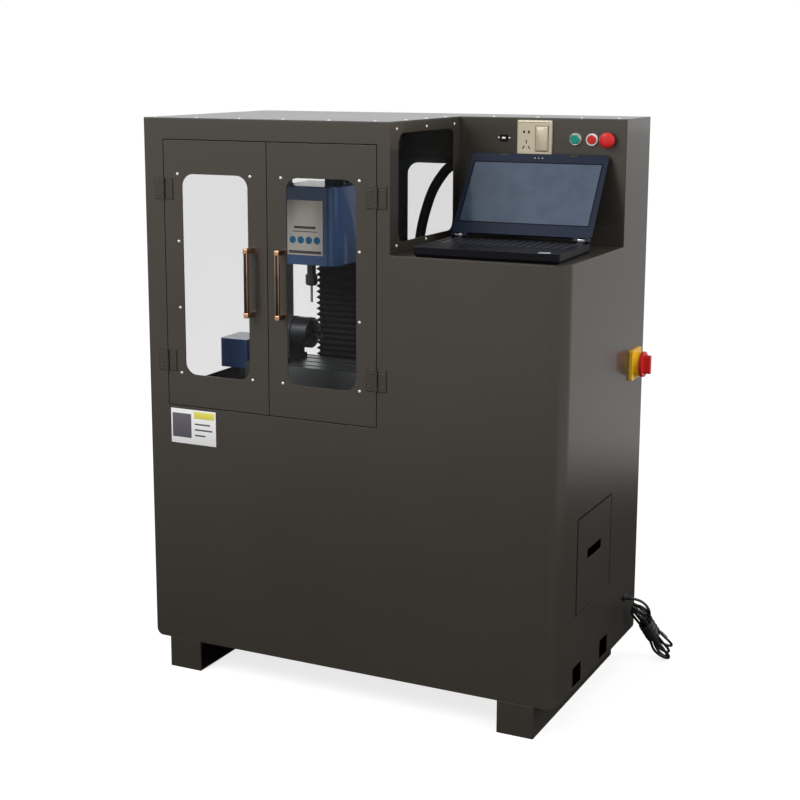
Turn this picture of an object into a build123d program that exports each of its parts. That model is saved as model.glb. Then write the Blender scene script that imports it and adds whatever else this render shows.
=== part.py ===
from build123d import *
import os
from math import radians, tan

os.makedirs("parts", exist_ok=True)

# Cabinet, in millimetres. The frame stands on the floor at z = 0, +X to the right, +Y to the back.
CABINET_WIDTH = 1070.0
CABINET_DEPTH = 568.0
CABINET_TOP = 1373.0
SHEET = 2.0
CORNER_R = 33.0
ROLL_R = 18.0
RUNNER_HEIGHT = 77.0
RUNNER_WIDTH = 88.0
RUNNER_WALL = 4.0
RUNNER_INSET_LEFT = 40.0
RUNNER_INSET_RIGHT = 57.0
RECESS_FROM_LEFT = 652.0
RECESS_DEPTH = 386.0
SHELF_Z = 1078.0
TRAY_Z = 640.0
TRAY_RIM = 30.0
STAND_LEG = 40.0
STAND_WALL = 3.0

# Glazing.
PANE = 4.0
PANE_LAP = 17.0
WINDOW_R = 30.0
SIDE_WINDOW = (420.0, 546.0)
SIDE_WINDOW_OVER_TRAY = 30.0
REAR_WINDOW_WIDTH = 141.0
REAR_WINDOW_INSET = 83.0
REAR_WINDOW_OVER_TRAY = 43.0
REAR_WINDOW_HEIGHT = 533.0
RECESS_WINDOW = (308.0, 243.0)
RECESS_WINDOW_FRONT = 43.0
RECESS_WINDOW_SILL = 1103.0
RECESS_WINDOW_R = 26.0

# Doors. Each is a folded tray that sits flush in the opening and turns on two butt hinges.
DOOR_GAP = 2.0
DOOR_LEFT = 53.0
DOOR_MEET = 336.0
DOOR_RIGHT = 619.0
DOOR_BOTTOM = 678.0
DOOR_TOP = 1323.0
DOOR_FOLD = 15.0
DOOR_WINDOW = (180.0, 483.0)
HANDLE_FROM_GAP = 42.0
HANDLE_LOW = 914.0
HANDLE_LENGTH = 163.0
HANDLE_BLOCK = 12.0
HANDLE_BAR = 8.0
HANDLE_REACH = 32.0
HINGE_SIZE = 50.0
HINGE_LEAF = 2.0
HINGE_R = 4.0
HINGE_PIN_R = 1.5
HINGE_LOW_Z = 765.0
HINGE_HIGH_Z = 1181.0

# Clearances.
SEAT = 0.3
RUNNING = 0.05

# Access cover on the right side and the two slots in that side's lower edge.
COVER_FRONT = 107.0
COVER_SIZE = (247.0, 231.0)
COVER_LOW = 263.0
COVER_LIP = 14.0
FINGER_SLOT = (98.0, 24.0)
FINGER_SLOT_UP = 116.0
SIDE_SLOT = (60.0, 48.0)
SIDE_SLOT_FRONTS = (97.0, 290.0)

# Control panel. Its fittings stand at shares of the recess's width.
PANEL_ROW_Z = 1324.0
SOCKET_SIZE = 86.0
SOCKET_THICK = 8.0
SOCKET_SHARE = 0.464
SOCKET_BODY = 26.0
SOCKET_HOLE = 12.0
TRUNNION_R = 2.0
ROCKER = (30.0, 58.0)
PORT_SHARE = 0.275
PORT_SIZE = (19.0, 16.0)
PORT_CAVITY = (13.0, 5.5)
BUTTON_SHARES = (0.703, 0.801, 0.895)
BUTTON_HOLE_R = 11.0
BEZEL_R = 14.5
BEZEL_THICK = 5.0
BUTTON_R = 10.2
BUTTON_STEM_R = 5.0
BUTTON_OUT = 8.0
BUTTON_TRAVEL = 3.0
BUTTON_BODY = 30.0
BUTTON_WELL = 26.0
STOP_R = 18.0
STOP_OUT = 26.0
STOP_TRAVEL = 5.0
STOP_ROUND = 9.0

# Mains isolator on the right side.
ISOLATOR_Y = 496.0
ISOLATOR_Z = 783.0
ISOLATOR_PLATE = 74.0
ISOLATOR_PLATE_THICK = 7.0
ISOLATOR_COLLAR_R = 29.0
ISOLATOR_COLLAR = 13.0
KNOB_R = 31.0
KNOB_THICK = 7.0
KNOB_SHAFT_R = 5.0
KNOB_SHAFT = 18.0
GRIP = (13.0, 46.0)
ISOLATOR_REACH = 42.0

# Mill.
MILL_FROM_LEFT = 320.0
SPINDLE_FROM_FRONT = 241.0
BASE_WIDTH = 220.0
BASE_FRONT = 94.0
BASE_BACK = 542.0
BASE_FOOT = 34.0
DOVE_HEIGHT = 14.0
DOVE_FLARE = 8.0
Y_WAY = 100.0
SADDLE_SIZE = (130.0, 110.0)
SADDLE_THICK = 36.0
X_WAY = 90.0
TABLE_LENGTH = 360.0
TABLE_DEPTH = 150.0
TABLE_THICK = 53.0
TABLE_LEFT_OF_SPINDLE = 150.0
T_PITCH = 45.0
T_SLOT = (10.0, 10.0)
T_HEAD = (17.0, 8.0)
END_PLATE = 10.0
SCREW_R = 6.0
SCREW_GROOVE = 12.0
NUT_HALF = 16.0
Z_SCREW_R = 8.0
MOTOR = 56.0
MOTOR_LENGTH = 62.0
X_COVER = (78.0, 100.0, 73.0)
X_COVER_UP = 30.0
X_BRACKET = 34.0
COLUMN_WIDTH = 110.0
COLUMN_FRONT = 414.0
COLUMN_BACK = 542.0
COLUMN_WALL = 14.0
COLUMN_TOP = 1292.0
Z_WAY = 84.0
HEAD_BOTTOM = 1013.0
HEAD_COVER = (170.0, 175.0, 192.0)
HEAD_COVER_R = 25.0
HEAD_COVER_WALL = 2.5
HEAD_COVER_AHEAD = 32.0
HEAD_CASTING = (130.0, 172.0)
CARRIAGE_IN_COVER = 30.0
ARM_WIDTH = 88.0
ARM_HEIGHT = 84.0
SPINDLE_HOUSING_R = 28.0
SPINDLE_R = 11.0
SPINDLE_NUT_R = 15.0
SPINDLE_NUT = 27.0
SPINDLE_NOSE = 54.0
SPINDLE_MOTOR_R = 27.0
SPINDLE_MOTOR = 64.0
CUTTER_R = 3.0
CUTTER_OUT = 42.0
CUTTER_HELD = 22.0
CUTTER_FLUTES = 24.0
BELLOWS_WIDTH = 134.0
BELLOWS_FRONT = 384.4
BELLOWS_FOLD = 7.0
BELLOWS_PLEATS = 22

# Rotary chuck on the table.
CHUCK_HEIGHT = 74.0
CHUCK_R = 38.0
CHUCK_LENGTH = 46.0
CHUCK_BORE_R = 8.0
CHUCK_SHAFT_R = 14.0
CHUCK_SHAFT = 40.0
ROTARY_LENGTH = 92.0
ROTARY_WIDTH = 78.0
ROTARY_FOOT = (104.0, 12.0)
ROTARY_FROM_TABLE_END = 15.0
ROTARY_PAD = 1.0
JAW_WIDTH = 12.0
JAW_GROOVE = 12.0
JAW_OUT = 18.0
JAW_RADII = (9.0, 33.0)
JAW_STEP = 11.0

# Laptop on the shelf, turned a little, its lid leaning back.
LAPTOP_FROM_RECESS = 216.0
LAPTOP_Y = 240.0
LAPTOP_YAW = 1.9
LAPTOP_WIDTH = 338.0
LAPTOP_DEPTH = 233.0
LAPTOP_BASE = 22.0
LAPTOP_CORNER_R = 9.0
LID_THICK = 7.0
LID_LEAN = 37.2
LID_START = 6.0
SCREEN = (312.0, 165.0)
SCREEN_FROM_EDGE = 26.0
SCREEN_DEEP = 1.2
BARREL_R = 4.2
BARREL_WIDTH = 18.0
BARREL_SPREAD = 148.0
BARREL_PIN_R = 2.0
KEY_ROWS = 6
KEY_COLUMNS = 15
KEY_PITCH = (20.2, 17.5)
KEY_SIZE = (17.6, 14.8)
KEY_WELL = 2.0
KEY_HEIGHT = 1.6
TOUCHPAD = (96.0, 50.0)
PAD_LEFT = 20.0
PAD_DEEP = 0.5

# Mains lead and the conduit inside the chamber.
CORD_R = 3.4
CORD_EXIT_Y = 470.0
CORD_EXIT_Z = 196.0
GLAND_R = 9.0
GLAND_LENGTH = 20.0
HANK_TOP = (33.0, 0.0, 172.0)
HANK_LOW = (78.0, 140.0, 4.8)
HANK_STATIONS = (
    (0.0, 26.0, 12.0),
    (0.14, 46.0, 21.0),
    (0.5, 30.0, 27.0),
    (0.86, 58.0, 23.0),
    (1.0, 34.0, 12.0),
)
CONDUIT_R = 12.5
CONDUIT_Y = 478.0
CONDUIT_Z = 1252.0
CONDUIT_TO_FLOOR = 152.0
CONDUIT_BENDS = ((64.0, 0.0), (112.0, 62.0), (142.0, 152.0), (155.0, 250.0), (148.0, 350.0))

# Places worked out from the sizes above. The box without the lead is centred on x = 0 and y = 0.
X_RIGHT = (CABINET_WIDTH - ISOLATOR_REACH) / 2
X_LEFT = X_RIGHT - CABINET_WIDTH
Y_BACK = (CABINET_DEPTH + HANDLE_REACH) / 2
Y_FRONT = Y_BACK - CABINET_DEPTH
RECESS_X = X_LEFT + RECESS_FROM_LEFT
RECESS_Y = Y_FRONT + RECESS_DEPTH
ROOF_Z = CABINET_TOP - SHEET

nodes = {}


def block(x, y, z):
    """A box from three (low, high) pairs."""
    size = (x[1] - x[0], y[1] - y[0], z[1] - z[0])
    return Pos(x[0], y[0], z[0]) * Box(*size, align=(Align.MIN, Align.MIN, Align.MIN))


def rect(low, high):
    """A flat rectangle from its low corner to its high corner."""
    middle = Pos((low[0] + high[0]) / 2, (low[1] + high[1]) / 2)
    return middle * Rectangle(high[0] - low[0], high[1] - low[1])


def rounded(low, high, radius):
    """The same with rounded corners."""
    middle = Pos((low[0] + high[0]) / 2, (low[1] + high[1]) / 2)
    return middle * RectangleRounded(high[0] - low[0], high[1] - low[1], radius)


def upright(sketch, y, thick):
    """A wall drawn in X and Z, from y to y + thick."""
    plane = Plane((0, y + thick, 0), x_dir=(1, 0, 0), z_dir=(0, -1, 0))
    return extrude(plane * sketch, thick)


def sideways(sketch, x, thick):
    """A wall drawn in Y and Z, from x to x + thick."""
    plane = Plane((x, 0, 0), x_dir=(0, 1, 0), z_dir=(1, 0, 0))
    return extrude(plane * sketch, thick)


def level(sketch, z, thick):
    """A slab drawn in X and Y, from z to z + thick."""
    return extrude(Plane((0, 0, z)) * sketch, thick)


def rod_x(y, z, radius, x):
    return sideways(Pos(y, z) * Circle(radius), x[0], x[1] - x[0])


def rod_y(x, z, radius, y):
    return upright(Pos(x, z) * Circle(radius), y[0], y[1] - y[0])


def rod_z(x, y, radius, z):
    return level(Pos(x, y) * Circle(radius), z[0], z[1] - z[0])


def dovetail(across, along, width, height, grow=0.0):
    """A dovetail section whose narrow side is at `along`; `grow` widens it into its groove."""
    half = width / 2 + grow
    root = half - DOVE_FLARE
    return make_face(
        Polyline(
            (across - root, along),
            (across + root, along),
            (across + half, along + height),
            (across - half, along + height),
            close=True,
        )
    )


# Cabinet panels.


def lower_volume(inset):
    """The box under the shelf: large front right corner, rolled bottom edges."""
    plan = rect((X_LEFT + inset, Y_FRONT + inset), (X_RIGHT - inset, Y_BACK - inset))
    corner = plan.vertices().sort_by(lambda v: v.X - v.Y)[-1]
    plan = fillet(corner, CORNER_R - inset)
    front = rect((X_LEFT + inset, RUNNER_HEIGHT + inset), (X_RIGHT - inset, SHELF_Z))
    bottom = front.vertices().sort_by(Axis.Y)[:2]
    front = fillet(bottom, ROLL_R - inset)
    return level(plan, RUNNER_HEIGHT, SHELF_Z - RUNNER_HEIGHT) & upright(front, Y_FRONT, CABINET_DEPTH)


def recess_plan(inset):
    """The shelf's outline seen from above, cut from the lower box."""
    plan = rect((RECESS_X, Y_FRONT + inset), (X_RIGHT - inset, RECESS_Y + SHEET))
    corner = plan.vertices().sort_by(lambda v: v.X - v.Y)[-1]
    return fillet(corner, CORNER_R - inset)


roll_top = RUNNER_HEIGHT + ROLL_R
wrap_x = X_RIGHT - CORNER_R
door_x = (X_LEFT + DOOR_LEFT, X_LEFT + DOOR_RIGHT)
meet_x = X_LEFT + DOOR_MEET

front_outline = rect((X_LEFT, RUNNER_HEIGHT), (RECESS_X, ROOF_Z))
front_corner = front_outline.vertices().sort_by(lambda v: v.X + v.Y)[0]
front_outline = fillet(front_corner, ROLL_R)
front_outline += rect((RECESS_X, RUNNER_HEIGHT), (wrap_x, SHELF_Z - SHEET))
front_outline -= rect((door_x[0] - DOOR_GAP / 2, DOOR_BOTTOM), (door_x[1] + DOOR_GAP / 2, DOOR_TOP))
nodes["front_panel"] = upright(front_outline, Y_FRONT, SHEET)

middle_y = (Y_FRONT + Y_BACK) / 2
side_window_y = (middle_y - SIDE_WINDOW[0] / 2, middle_y + SIDE_WINDOW[0] / 2)
rim_z = TRAY_Z + TRAY_RIM
side_sill = rim_z + SIDE_WINDOW_OVER_TRAY
side_window_z = (side_sill, side_sill + SIDE_WINDOW[1])
left_sheet = rect((Y_FRONT + SHEET, roll_top), (Y_BACK - SHEET, ROOF_Z))
left_sheet -= rounded((side_window_y[0], side_window_z[0]), (side_window_y[1], side_window_z[1]), WINDOW_R)
nodes["left_side_panel"] = sideways(left_sheet, X_LEFT, SHEET)

outer = lower_volume(0)
shell = outer - lower_volume(SHEET)
side_reach = block((wrap_x, X_RIGHT), (Y_FRONT, Y_BACK - SHEET), (roll_top, SHELF_Z - SHEET))
right_side = shell & side_reach
right_x = (X_RIGHT - SHEET, X_RIGHT)
right_side += block(right_x, (RECESS_Y + SHEET, Y_BACK - SHEET), (SHELF_Z - SHEET, ROOF_Z))
right_side += block(right_x, (RECESS_Y, RECESS_Y + SHEET), (SHELF_Z, ROOF_Z))
cover_y = (Y_FRONT + COVER_FRONT, Y_FRONT + COVER_FRONT + COVER_SIZE[0])
cover_z = (COVER_LOW, COVER_LOW + COVER_SIZE[1])
right_side -= block((X_RIGHT - CORNER_R, X_RIGHT + 1), cover_y, cover_z)
cover_middle = Pos(sum(cover_y) / 2, sum(cover_z) / 2)
lip_face = cover_middle * Rectangle(COVER_SIZE[0] + 2 * COVER_LIP, COVER_SIZE[1] + 2 * COVER_LIP)
lip_face -= cover_middle * Rectangle(COVER_SIZE[0] - 2 * COVER_LIP, COVER_SIZE[1] - 2 * COVER_LIP)
right_side += sideways(lip_face, X_RIGHT - 2 * SHEET, SHEET)
shaft_z = ISOLATOR_Z
shaft_y = Y_FRONT + ISOLATOR_Y
right_side -= rod_x(shaft_y, shaft_z, KNOB_SHAFT_R + 3, (X_RIGHT - SHEET - 1, X_RIGHT + 1))
gland_y = Y_FRONT + CORD_EXIT_Y
right_side -= rod_x(gland_y, CORD_EXIT_Z, CORD_R + 2, (X_RIGHT - SHEET - 1, X_RIGHT + 1))

# The two slots are notches in the panel's lower edge, above the floor pan. Under their top edge the
# panel is a row of plain strips, so that its shape stays open there.
slot_top = roll_top + SIDE_SLOT[1]
side_parts = [right_side & block((wrap_x, X_RIGHT), (Y_FRONT, Y_BACK), (slot_top, ROOF_Z))]
strip_low = Y_FRONT
strip_ends = [(Y_FRONT + CORNER_R, Y_FRONT + CORNER_R)]
for slot_front in SIDE_SLOT_FRONTS:
    strip_ends.append((Y_FRONT + slot_front, Y_FRONT + slot_front + SIDE_SLOT[0]))
strip_ends.append((Y_BACK, Y_BACK))
for strip_high, next_low in strip_ends:
    side_parts.append(right_side & block((wrap_x, X_RIGHT), (strip_low, strip_high), (roll_top, slot_top)))
    strip_low = next_low
nodes["right_side_panel"] = Compound(side_parts)

floor_zone = block((X_LEFT, X_RIGHT), (Y_FRONT + SHEET, Y_BACK - SHEET), (RUNNER_HEIGHT, roll_top))
corner_zone = block((wrap_x, X_RIGHT), (Y_FRONT, Y_FRONT + SHEET), (RUNNER_HEIGHT, roll_top))
nodes["floor_pan"] = shell & (floor_zone + corner_zone)

rear_sill = rim_z + REAR_WINDOW_OVER_TRAY
rear_window_z = (rear_sill, rear_sill + REAR_WINDOW_HEIGHT)
rear_windows = [
    (X_LEFT + REAR_WINDOW_INSET, X_LEFT + REAR_WINDOW_INSET + REAR_WINDOW_WIDTH),
    (RECESS_X - REAR_WINDOW_INSET - REAR_WINDOW_WIDTH, RECESS_X - REAR_WINDOW_INSET),
]
rear_sheet = rect((X_LEFT, RUNNER_HEIGHT), (X_RIGHT, ROOF_Z))
rear_sheet = fillet(rear_sheet.vertices().sort_by(Axis.Y)[:2], ROLL_R)
for rear_x in rear_windows:
    rear_sheet -= rounded((rear_x[0], rear_window_z[0]), (rear_x[1], rear_window_z[1]), WINDOW_R)
nodes["rear_panel"] = upright(rear_sheet, Y_BACK - SHEET, SHEET)

roof = rect((X_LEFT, Y_FRONT), (RECESS_X, Y_BACK)) + rect((RECESS_X, RECESS_Y), (X_RIGHT, Y_BACK))
nodes["roof_plate"] = level(roof, ROOF_Z, SHEET)

recess_window_y = (Y_FRONT + RECESS_WINDOW_FRONT, Y_FRONT + RECESS_WINDOW_FRONT + RECESS_WINDOW[0])
recess_window_z = (RECESS_WINDOW_SILL, RECESS_WINDOW_SILL + RECESS_WINDOW[1])
partition = rect((Y_FRONT + SHEET, TRAY_Z), (Y_BACK - SHEET, ROOF_Z))
partition -= rounded(
    (recess_window_y[0], recess_window_z[0]), (recess_window_y[1], recess_window_z[1]), RECESS_WINDOW_R
)
conduit_y = Y_FRONT + CONDUIT_Y
partition -= Pos(conduit_y, CONDUIT_Z) * Circle(CONDUIT_R - 1)
nodes["chamber_partition"] = sideways(partition, RECESS_X - SHEET, SHEET)

nodes["laptop_shelf"] = level(recess_plan(0), SHELF_Z - SHEET, SHEET)

panel = rect((RECESS_X, SHELF_Z), (X_RIGHT - SHEET, ROOF_Z))
recess_width = X_RIGHT - RECESS_X
socket_x = RECESS_X + SOCKET_SHARE * recess_width
panel -= Pos(socket_x, PANEL_ROW_Z) * Rectangle(SOCKET_SIZE - 14, SOCKET_SIZE - 14)
port_x = RECESS_X + PORT_SHARE * recess_width
panel -= Pos(port_x, PANEL_ROW_Z) * Rectangle(PORT_CAVITY[0] + 3, PORT_CAVITY[1] + 3)
button_x = [RECESS_X + share * recess_width for share in BUTTON_SHARES]
for x in button_x:
    panel -= Pos(x, PANEL_ROW_Z) * Circle(BUTTON_HOLE_R)
nodes["control_panel"] = upright(panel, RECESS_Y, SHEET)

tray_x = (X_LEFT + SHEET, RECESS_X - SHEET)
tray_y = (Y_FRONT + SHEET, Y_BACK - SHEET)
tray = block(tray_x, tray_y, (TRAY_Z, rim_z))
tray_floor = TRAY_Z + SHEET
inner_x = (tray_x[0] + SHEET, tray_x[1] - SHEET)
inner_y = (tray_y[0] + SHEET, tray_y[1] - SHEET)
tray -= block(inner_x, inner_y, (tray_floor, rim_z + 1))
nodes["chip_tray"] = tray

runner_lefts = (X_LEFT + RUNNER_INSET_LEFT, X_RIGHT - RUNNER_INSET_RIGHT - RUNNER_WIDTH)
runners = []
for x, open_side in ((runner_lefts[0], 1), (runner_lefts[1], -1)):
    runner = block((x, x + RUNNER_WIDTH), (Y_FRONT, Y_BACK), (0, RUNNER_HEIGHT))
    low = x + RUNNER_WALL if open_side > 0 else x - 1
    high = x + RUNNER_WIDTH + 1 if open_side > 0 else x + RUNNER_WIDTH - RUNNER_WALL
    hollow_y = (Y_FRONT + RUNNER_WALL, Y_BACK - RUNNER_WALL)
    runner -= block((low, high), hollow_y, (RUNNER_WALL, RUNNER_HEIGHT - RUNNER_WALL))
    runners.append(runner)
nodes["runners"] = Compound(runners)

# Panes, each behind its window and lapping it all round.


def lapped(low, high):
    return rounded((low[0] - PANE_LAP, low[1] - PANE_LAP), (high[0] + PANE_LAP, high[1] + PANE_LAP), 6)


panes = [
    sideways(
        lapped((side_window_y[0], side_window_z[0]), (side_window_y[1], side_window_z[1])),
        X_LEFT + SHEET,
        PANE,
    ),
    sideways(
        lapped((recess_window_y[0], recess_window_z[0]), (recess_window_y[1], recess_window_z[1])),
        RECESS_X - SHEET - PANE,
        PANE,
    ),
]
for rear_x in rear_windows:
    face = lapped((rear_x[0], rear_window_z[0]), (rear_x[1], rear_window_z[1]))
    panes.append(upright(face, Y_BACK - SHEET - PANE, PANE))
nodes["cabinet_panes"] = Compound(panes)

# Doors, handles and hinges.


def hinge(x, z, side):
    """Frame leaf with its pin, and door leaf, of one butt hinge; the door lies on `side` of x."""
    axis_y = Y_FRONT - HINGE_R - SEAT
    half = HINGE_SIZE / 2
    ear = HINGE_SIZE / 4
    clear = HINGE_R + 2 * SEAT

    def leaf(direction, z_low, z_high, start):
        ends = sorted((x + direction * start, x + direction * half))
        return block(ends, (Y_FRONT - HINGE_LEAF, Y_FRONT), (z_low, z_high))

    frame = leaf(-side, z, z + ear, 0) + leaf(-side, z + HINGE_SIZE - ear, z + HINGE_SIZE, 0)
    frame += leaf(-side, z + ear, z + HINGE_SIZE - ear, clear)
    frame += rod_z(x, axis_y, HINGE_R, (z, z + ear))
    frame += rod_z(x, axis_y, HINGE_R, (z + HINGE_SIZE - ear, z + HINGE_SIZE))
    frame += rod_z(x, axis_y, HINGE_PIN_R, (z, z + HINGE_SIZE))
    low, high = z + ear + SEAT, z + HINGE_SIZE - ear - SEAT
    door = leaf(side, low, high, 0) + leaf(side, z, low, clear) + leaf(side, high, z + HINGE_SIZE, clear)
    door += rod_z(x, axis_y, HINGE_R, (low, high))
    door -= rod_z(x, axis_y, HINGE_PIN_R + RUNNING, (low - 1, high + 1))
    return frame, door


frame_leaves = []
door_faces = (
    ("left_door", door_x[0] + DOOR_GAP / 2, meet_x - DOOR_GAP / 2, 1),
    ("right_door", meet_x + DOOR_GAP / 2, door_x[1] - DOOR_GAP / 2, -1),
)
for name, x_low, x_high, side in door_faces:
    z_low = DOOR_BOTTOM + DOOR_GAP
    z_high = DOOR_TOP - DOOR_GAP
    skin = block((x_low, x_high), (Y_FRONT, Y_FRONT + DOOR_FOLD), (z_low, z_high))
    hollow_x = (x_low + SHEET, x_high - SHEET)
    hollow_y = (Y_FRONT + SHEET, Y_FRONT + DOOR_FOLD + 1)
    skin -= block(hollow_x, hollow_y, (z_low + SHEET, z_high - SHEET))
    middle_x = (x_low + x_high) / 2
    middle_z = (z_low + z_high) / 2
    low = (middle_x - DOOR_WINDOW[0] / 2, middle_z - DOOR_WINDOW[1] / 2)
    high = (middle_x + DOOR_WINDOW[0] / 2, middle_z + DOOR_WINDOW[1] / 2)
    skin -= upright(rounded(low, high, WINDOW_R), Y_FRONT - 1, SHEET + 2)
    nodes[name + "_panel"] = skin
    nodes[name + "_pane"] = upright(lapped(low, high), Y_FRONT + SHEET, PANE)
    bar_x = meet_x - side * HANDLE_FROM_GAP
    half = HANDLE_BLOCK / 2
    bar_z = (HANDLE_LOW, HANDLE_LOW + HANDLE_LENGTH)
    block_x = (bar_x - half, bar_x + half)
    block_y = (Y_FRONT - HANDLE_REACH, Y_FRONT)
    handle = block(block_x, block_y, (bar_z[0], bar_z[0] + HANDLE_BLOCK))
    handle += block(block_x, block_y, (bar_z[1] - HANDLE_BLOCK, bar_z[1]))
    bar_y = (Y_FRONT - HANDLE_REACH + 1, Y_FRONT - HANDLE_REACH + 1 + HANDLE_BAR)
    handle += block((bar_x - half + 1, bar_x + half - 1), bar_y, bar_z)
    nodes[name + "_handle"] = handle
    hinge_x = door_x[0] if side > 0 else door_x[1]
    door_leaves = []
    for hinge_z in (HINGE_LOW_Z, HINGE_HIGH_Z):
        frame_leaf, door_leaf = hinge(hinge_x, hinge_z, side)
        frame_leaves.append(frame_leaf)
        door_leaves.append(door_leaf)
    nodes[name + "_hinge_leaves"] = Compound(door_leaves)
nodes["hinge_frame_leaves"] = Compound(frame_leaves)

# Access cover: a plate that drops into the opening against the lip, with a finger slot.
plate_y = (cover_y[0] + DOOR_GAP / 2, cover_y[1] - DOOR_GAP / 2)
plate_z = (cover_z[0] + DOOR_GAP / 2, cover_z[1] - DOOR_GAP / 2)
cover = rect((plate_y[0], plate_z[0]), (plate_y[1], plate_z[1]))
slot_middle = Pos((plate_y[0] + plate_y[1]) / 2, COVER_LOW + FINGER_SLOT_UP + FINGER_SLOT[1] / 2)
cover -= slot_middle * RectangleRounded(*FINGER_SLOT, 4)
nodes["access_cover"] = sideways(cover, X_RIGHT - SHEET + SEAT, SHEET - SEAT)

# Control panel fittings. Each stands on the panel's front face, towards -Y.
rocker_y = RECESS_Y - SOCKET_THICK
plate_face = Pos(socket_x, PANEL_ROW_Z) * RectangleRounded(SOCKET_SIZE, SOCKET_SIZE, 3)
plate = upright(plate_face, rocker_y, SOCKET_THICK)
plate = chamfer(plate.faces().sort_by(Axis.Y)[0].outer_wire().edges(), 1.5)
body_side = SOCKET_SIZE - 16
plate += upright(Pos(socket_x, PANEL_ROW_Z) * Rectangle(body_side, body_side), RECESS_Y, SOCKET_BODY)
rocker_x = socket_x + SOCKET_SIZE / 4 - 2
rocker_well = Pos(rocker_x, PANEL_ROW_Z) * Rectangle(ROCKER[0] + 1, ROCKER[1] + 1)
plate -= upright(rocker_well, rocker_y - 1, SOCKET_HOLE + 1)
outlet_x = socket_x - SOCKET_SIZE / 4 + 2
holes = Pos(outlet_x - 6, PANEL_ROW_Z + 15) * Rectangle(2.2, 7)
holes += Pos(outlet_x + 6, PANEL_ROW_Z + 15) * Rectangle(2.2, 7)
holes += Pos(outlet_x, PANEL_ROW_Z - 8) * Rectangle(2.2, 8)
holes += Pos(outlet_x - 7, PANEL_ROW_Z - 21) * Rot(0, 0, -30) * Rectangle(2.2, 8)
holes += Pos(outlet_x + 7, PANEL_ROW_Z - 21) * Rot(0, 0, 30) * Rectangle(2.2, 8)
plate -= upright(holes, rocker_y - 1, SOCKET_HOLE + 1)
trunnion_y = rocker_y + 5
rocker_end = ROCKER[0] / 2 + 2
trunnion_hole = (rocker_x - rocker_end - SEAT, rocker_x + rocker_end + SEAT)
plate -= rod_x(trunnion_y, PANEL_ROW_Z, TRUNNION_R + RUNNING, trunnion_hole)
nodes["socket_plate"] = plate

rocker = block(
    (rocker_x - ROCKER[0] / 2, rocker_x + ROCKER[0] / 2),
    (rocker_y - 1.5, rocker_y + 5),
    (PANEL_ROW_Z - ROCKER[1] / 2, PANEL_ROW_Z + ROCKER[1] / 2),
)
rocker = fillet(rocker.edges().filter_by(Axis.X).group_by(Axis.Y)[0], 1.2)
rocker += rod_x(trunnion_y, PANEL_ROW_Z, TRUNNION_R, (rocker_x - rocker_end, rocker_x + rocker_end))
nodes["socket_rocker"] = rocker

port = upright(Pos(port_x, PANEL_ROW_Z) * RectangleRounded(*PORT_SIZE, 2), RECESS_Y - 3, 3)
port += upright(Pos(port_x, PANEL_ROW_Z) * Rectangle(PORT_CAVITY[0] + 3, PORT_CAVITY[1] + 3), RECESS_Y, 12)
port -= upright(Pos(port_x, PANEL_ROW_Z) * Rectangle(*PORT_CAVITY), RECESS_Y - 4, 14)
nodes["data_port"] = port

bezels = []
for index, x in enumerate(button_x):
    last = index == len(button_x) - 1
    bore = (BUTTON_STEM_R if last else BUTTON_R) + RUNNING
    ring = rod_y(x, PANEL_ROW_Z, BEZEL_R, (RECESS_Y - BEZEL_THICK, RECESS_Y))
    ring = chamfer(ring.edges().filter_by(GeomType.CIRCLE).sort_by(Axis.Y)[0], 1.5)
    ring += rod_y(x, PANEL_ROW_Z, BUTTON_HOLE_R, (RECESS_Y, RECESS_Y + BUTTON_BODY))
    ring -= rod_y(x, PANEL_ROW_Z, bore, (RECESS_Y - BEZEL_THICK - 1, RECESS_Y + BUTTON_WELL))
    bezels.append(ring)
nodes["button_bezels"] = Compound(bezels)
for name, x in (("green_button", button_x[0]), ("red_button", button_x[1])):
    cap_back = RECESS_Y + BUTTON_WELL - BUTTON_TRAVEL - SEAT
    cap = rod_y(x, PANEL_ROW_Z, BUTTON_R, (RECESS_Y - BUTTON_OUT, cap_back))
    nodes[name] = chamfer(cap.edges().filter_by(GeomType.CIRCLE).sort_by(Axis.Y)[0], 1.0)
stop_x = button_x[2]
stop_back = RECESS_Y - BEZEL_THICK - STOP_TRAVEL - SEAT
stop_front = RECESS_Y - STOP_OUT
stop_profile = make_face(
    Polyline(
        (0, stop_front),
        (STOP_R * 0.55, stop_front + STOP_ROUND * 0.12),
        (STOP_R * 0.86, stop_front + STOP_ROUND * 0.44),
        (STOP_R, stop_front + STOP_ROUND),
        (STOP_R, stop_back),
        (0, stop_back),
        close=True,
    )
)
stop = Pos(stop_x, 0, PANEL_ROW_Z) * revolve(stop_profile, Axis.Y)
stem_y = (stop_back - 1, RECESS_Y + BUTTON_WELL - STOP_TRAVEL - SEAT)
stop += rod_y(stop_x, PANEL_ROW_Z, BUTTON_STEM_R, stem_y)
nodes["stop_button"] = stop

# Mains isolator.
iso = Pos(shaft_y, shaft_z)
base = sideways(iso * RectangleRounded(ISOLATOR_PLATE, ISOLATOR_PLATE, 4), X_RIGHT, ISOLATOR_PLATE_THICK)
collar_x = X_RIGHT + ISOLATOR_PLATE_THICK
collar_end = collar_x + ISOLATOR_COLLAR
base += rod_x(shaft_y, shaft_z, ISOLATOR_COLLAR_R, (collar_x, collar_end))
base += rod_x(shaft_y, shaft_z, KNOB_SHAFT_R + 2.5, (X_RIGHT - KNOB_SHAFT - 2, X_RIGHT))
base -= rod_x(shaft_y, shaft_z, KNOB_SHAFT_R + RUNNING, (X_RIGHT - KNOB_SHAFT, collar_end + 1))
nodes["isolator_base"] = base
disc_x = (collar_end + SEAT, collar_end + SEAT + KNOB_THICK)
knob = rod_x(shaft_y, shaft_z, KNOB_R, disc_x)
grip_face = iso * SlotOverall(GRIP[1], GRIP[0], rotation=90)
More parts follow.
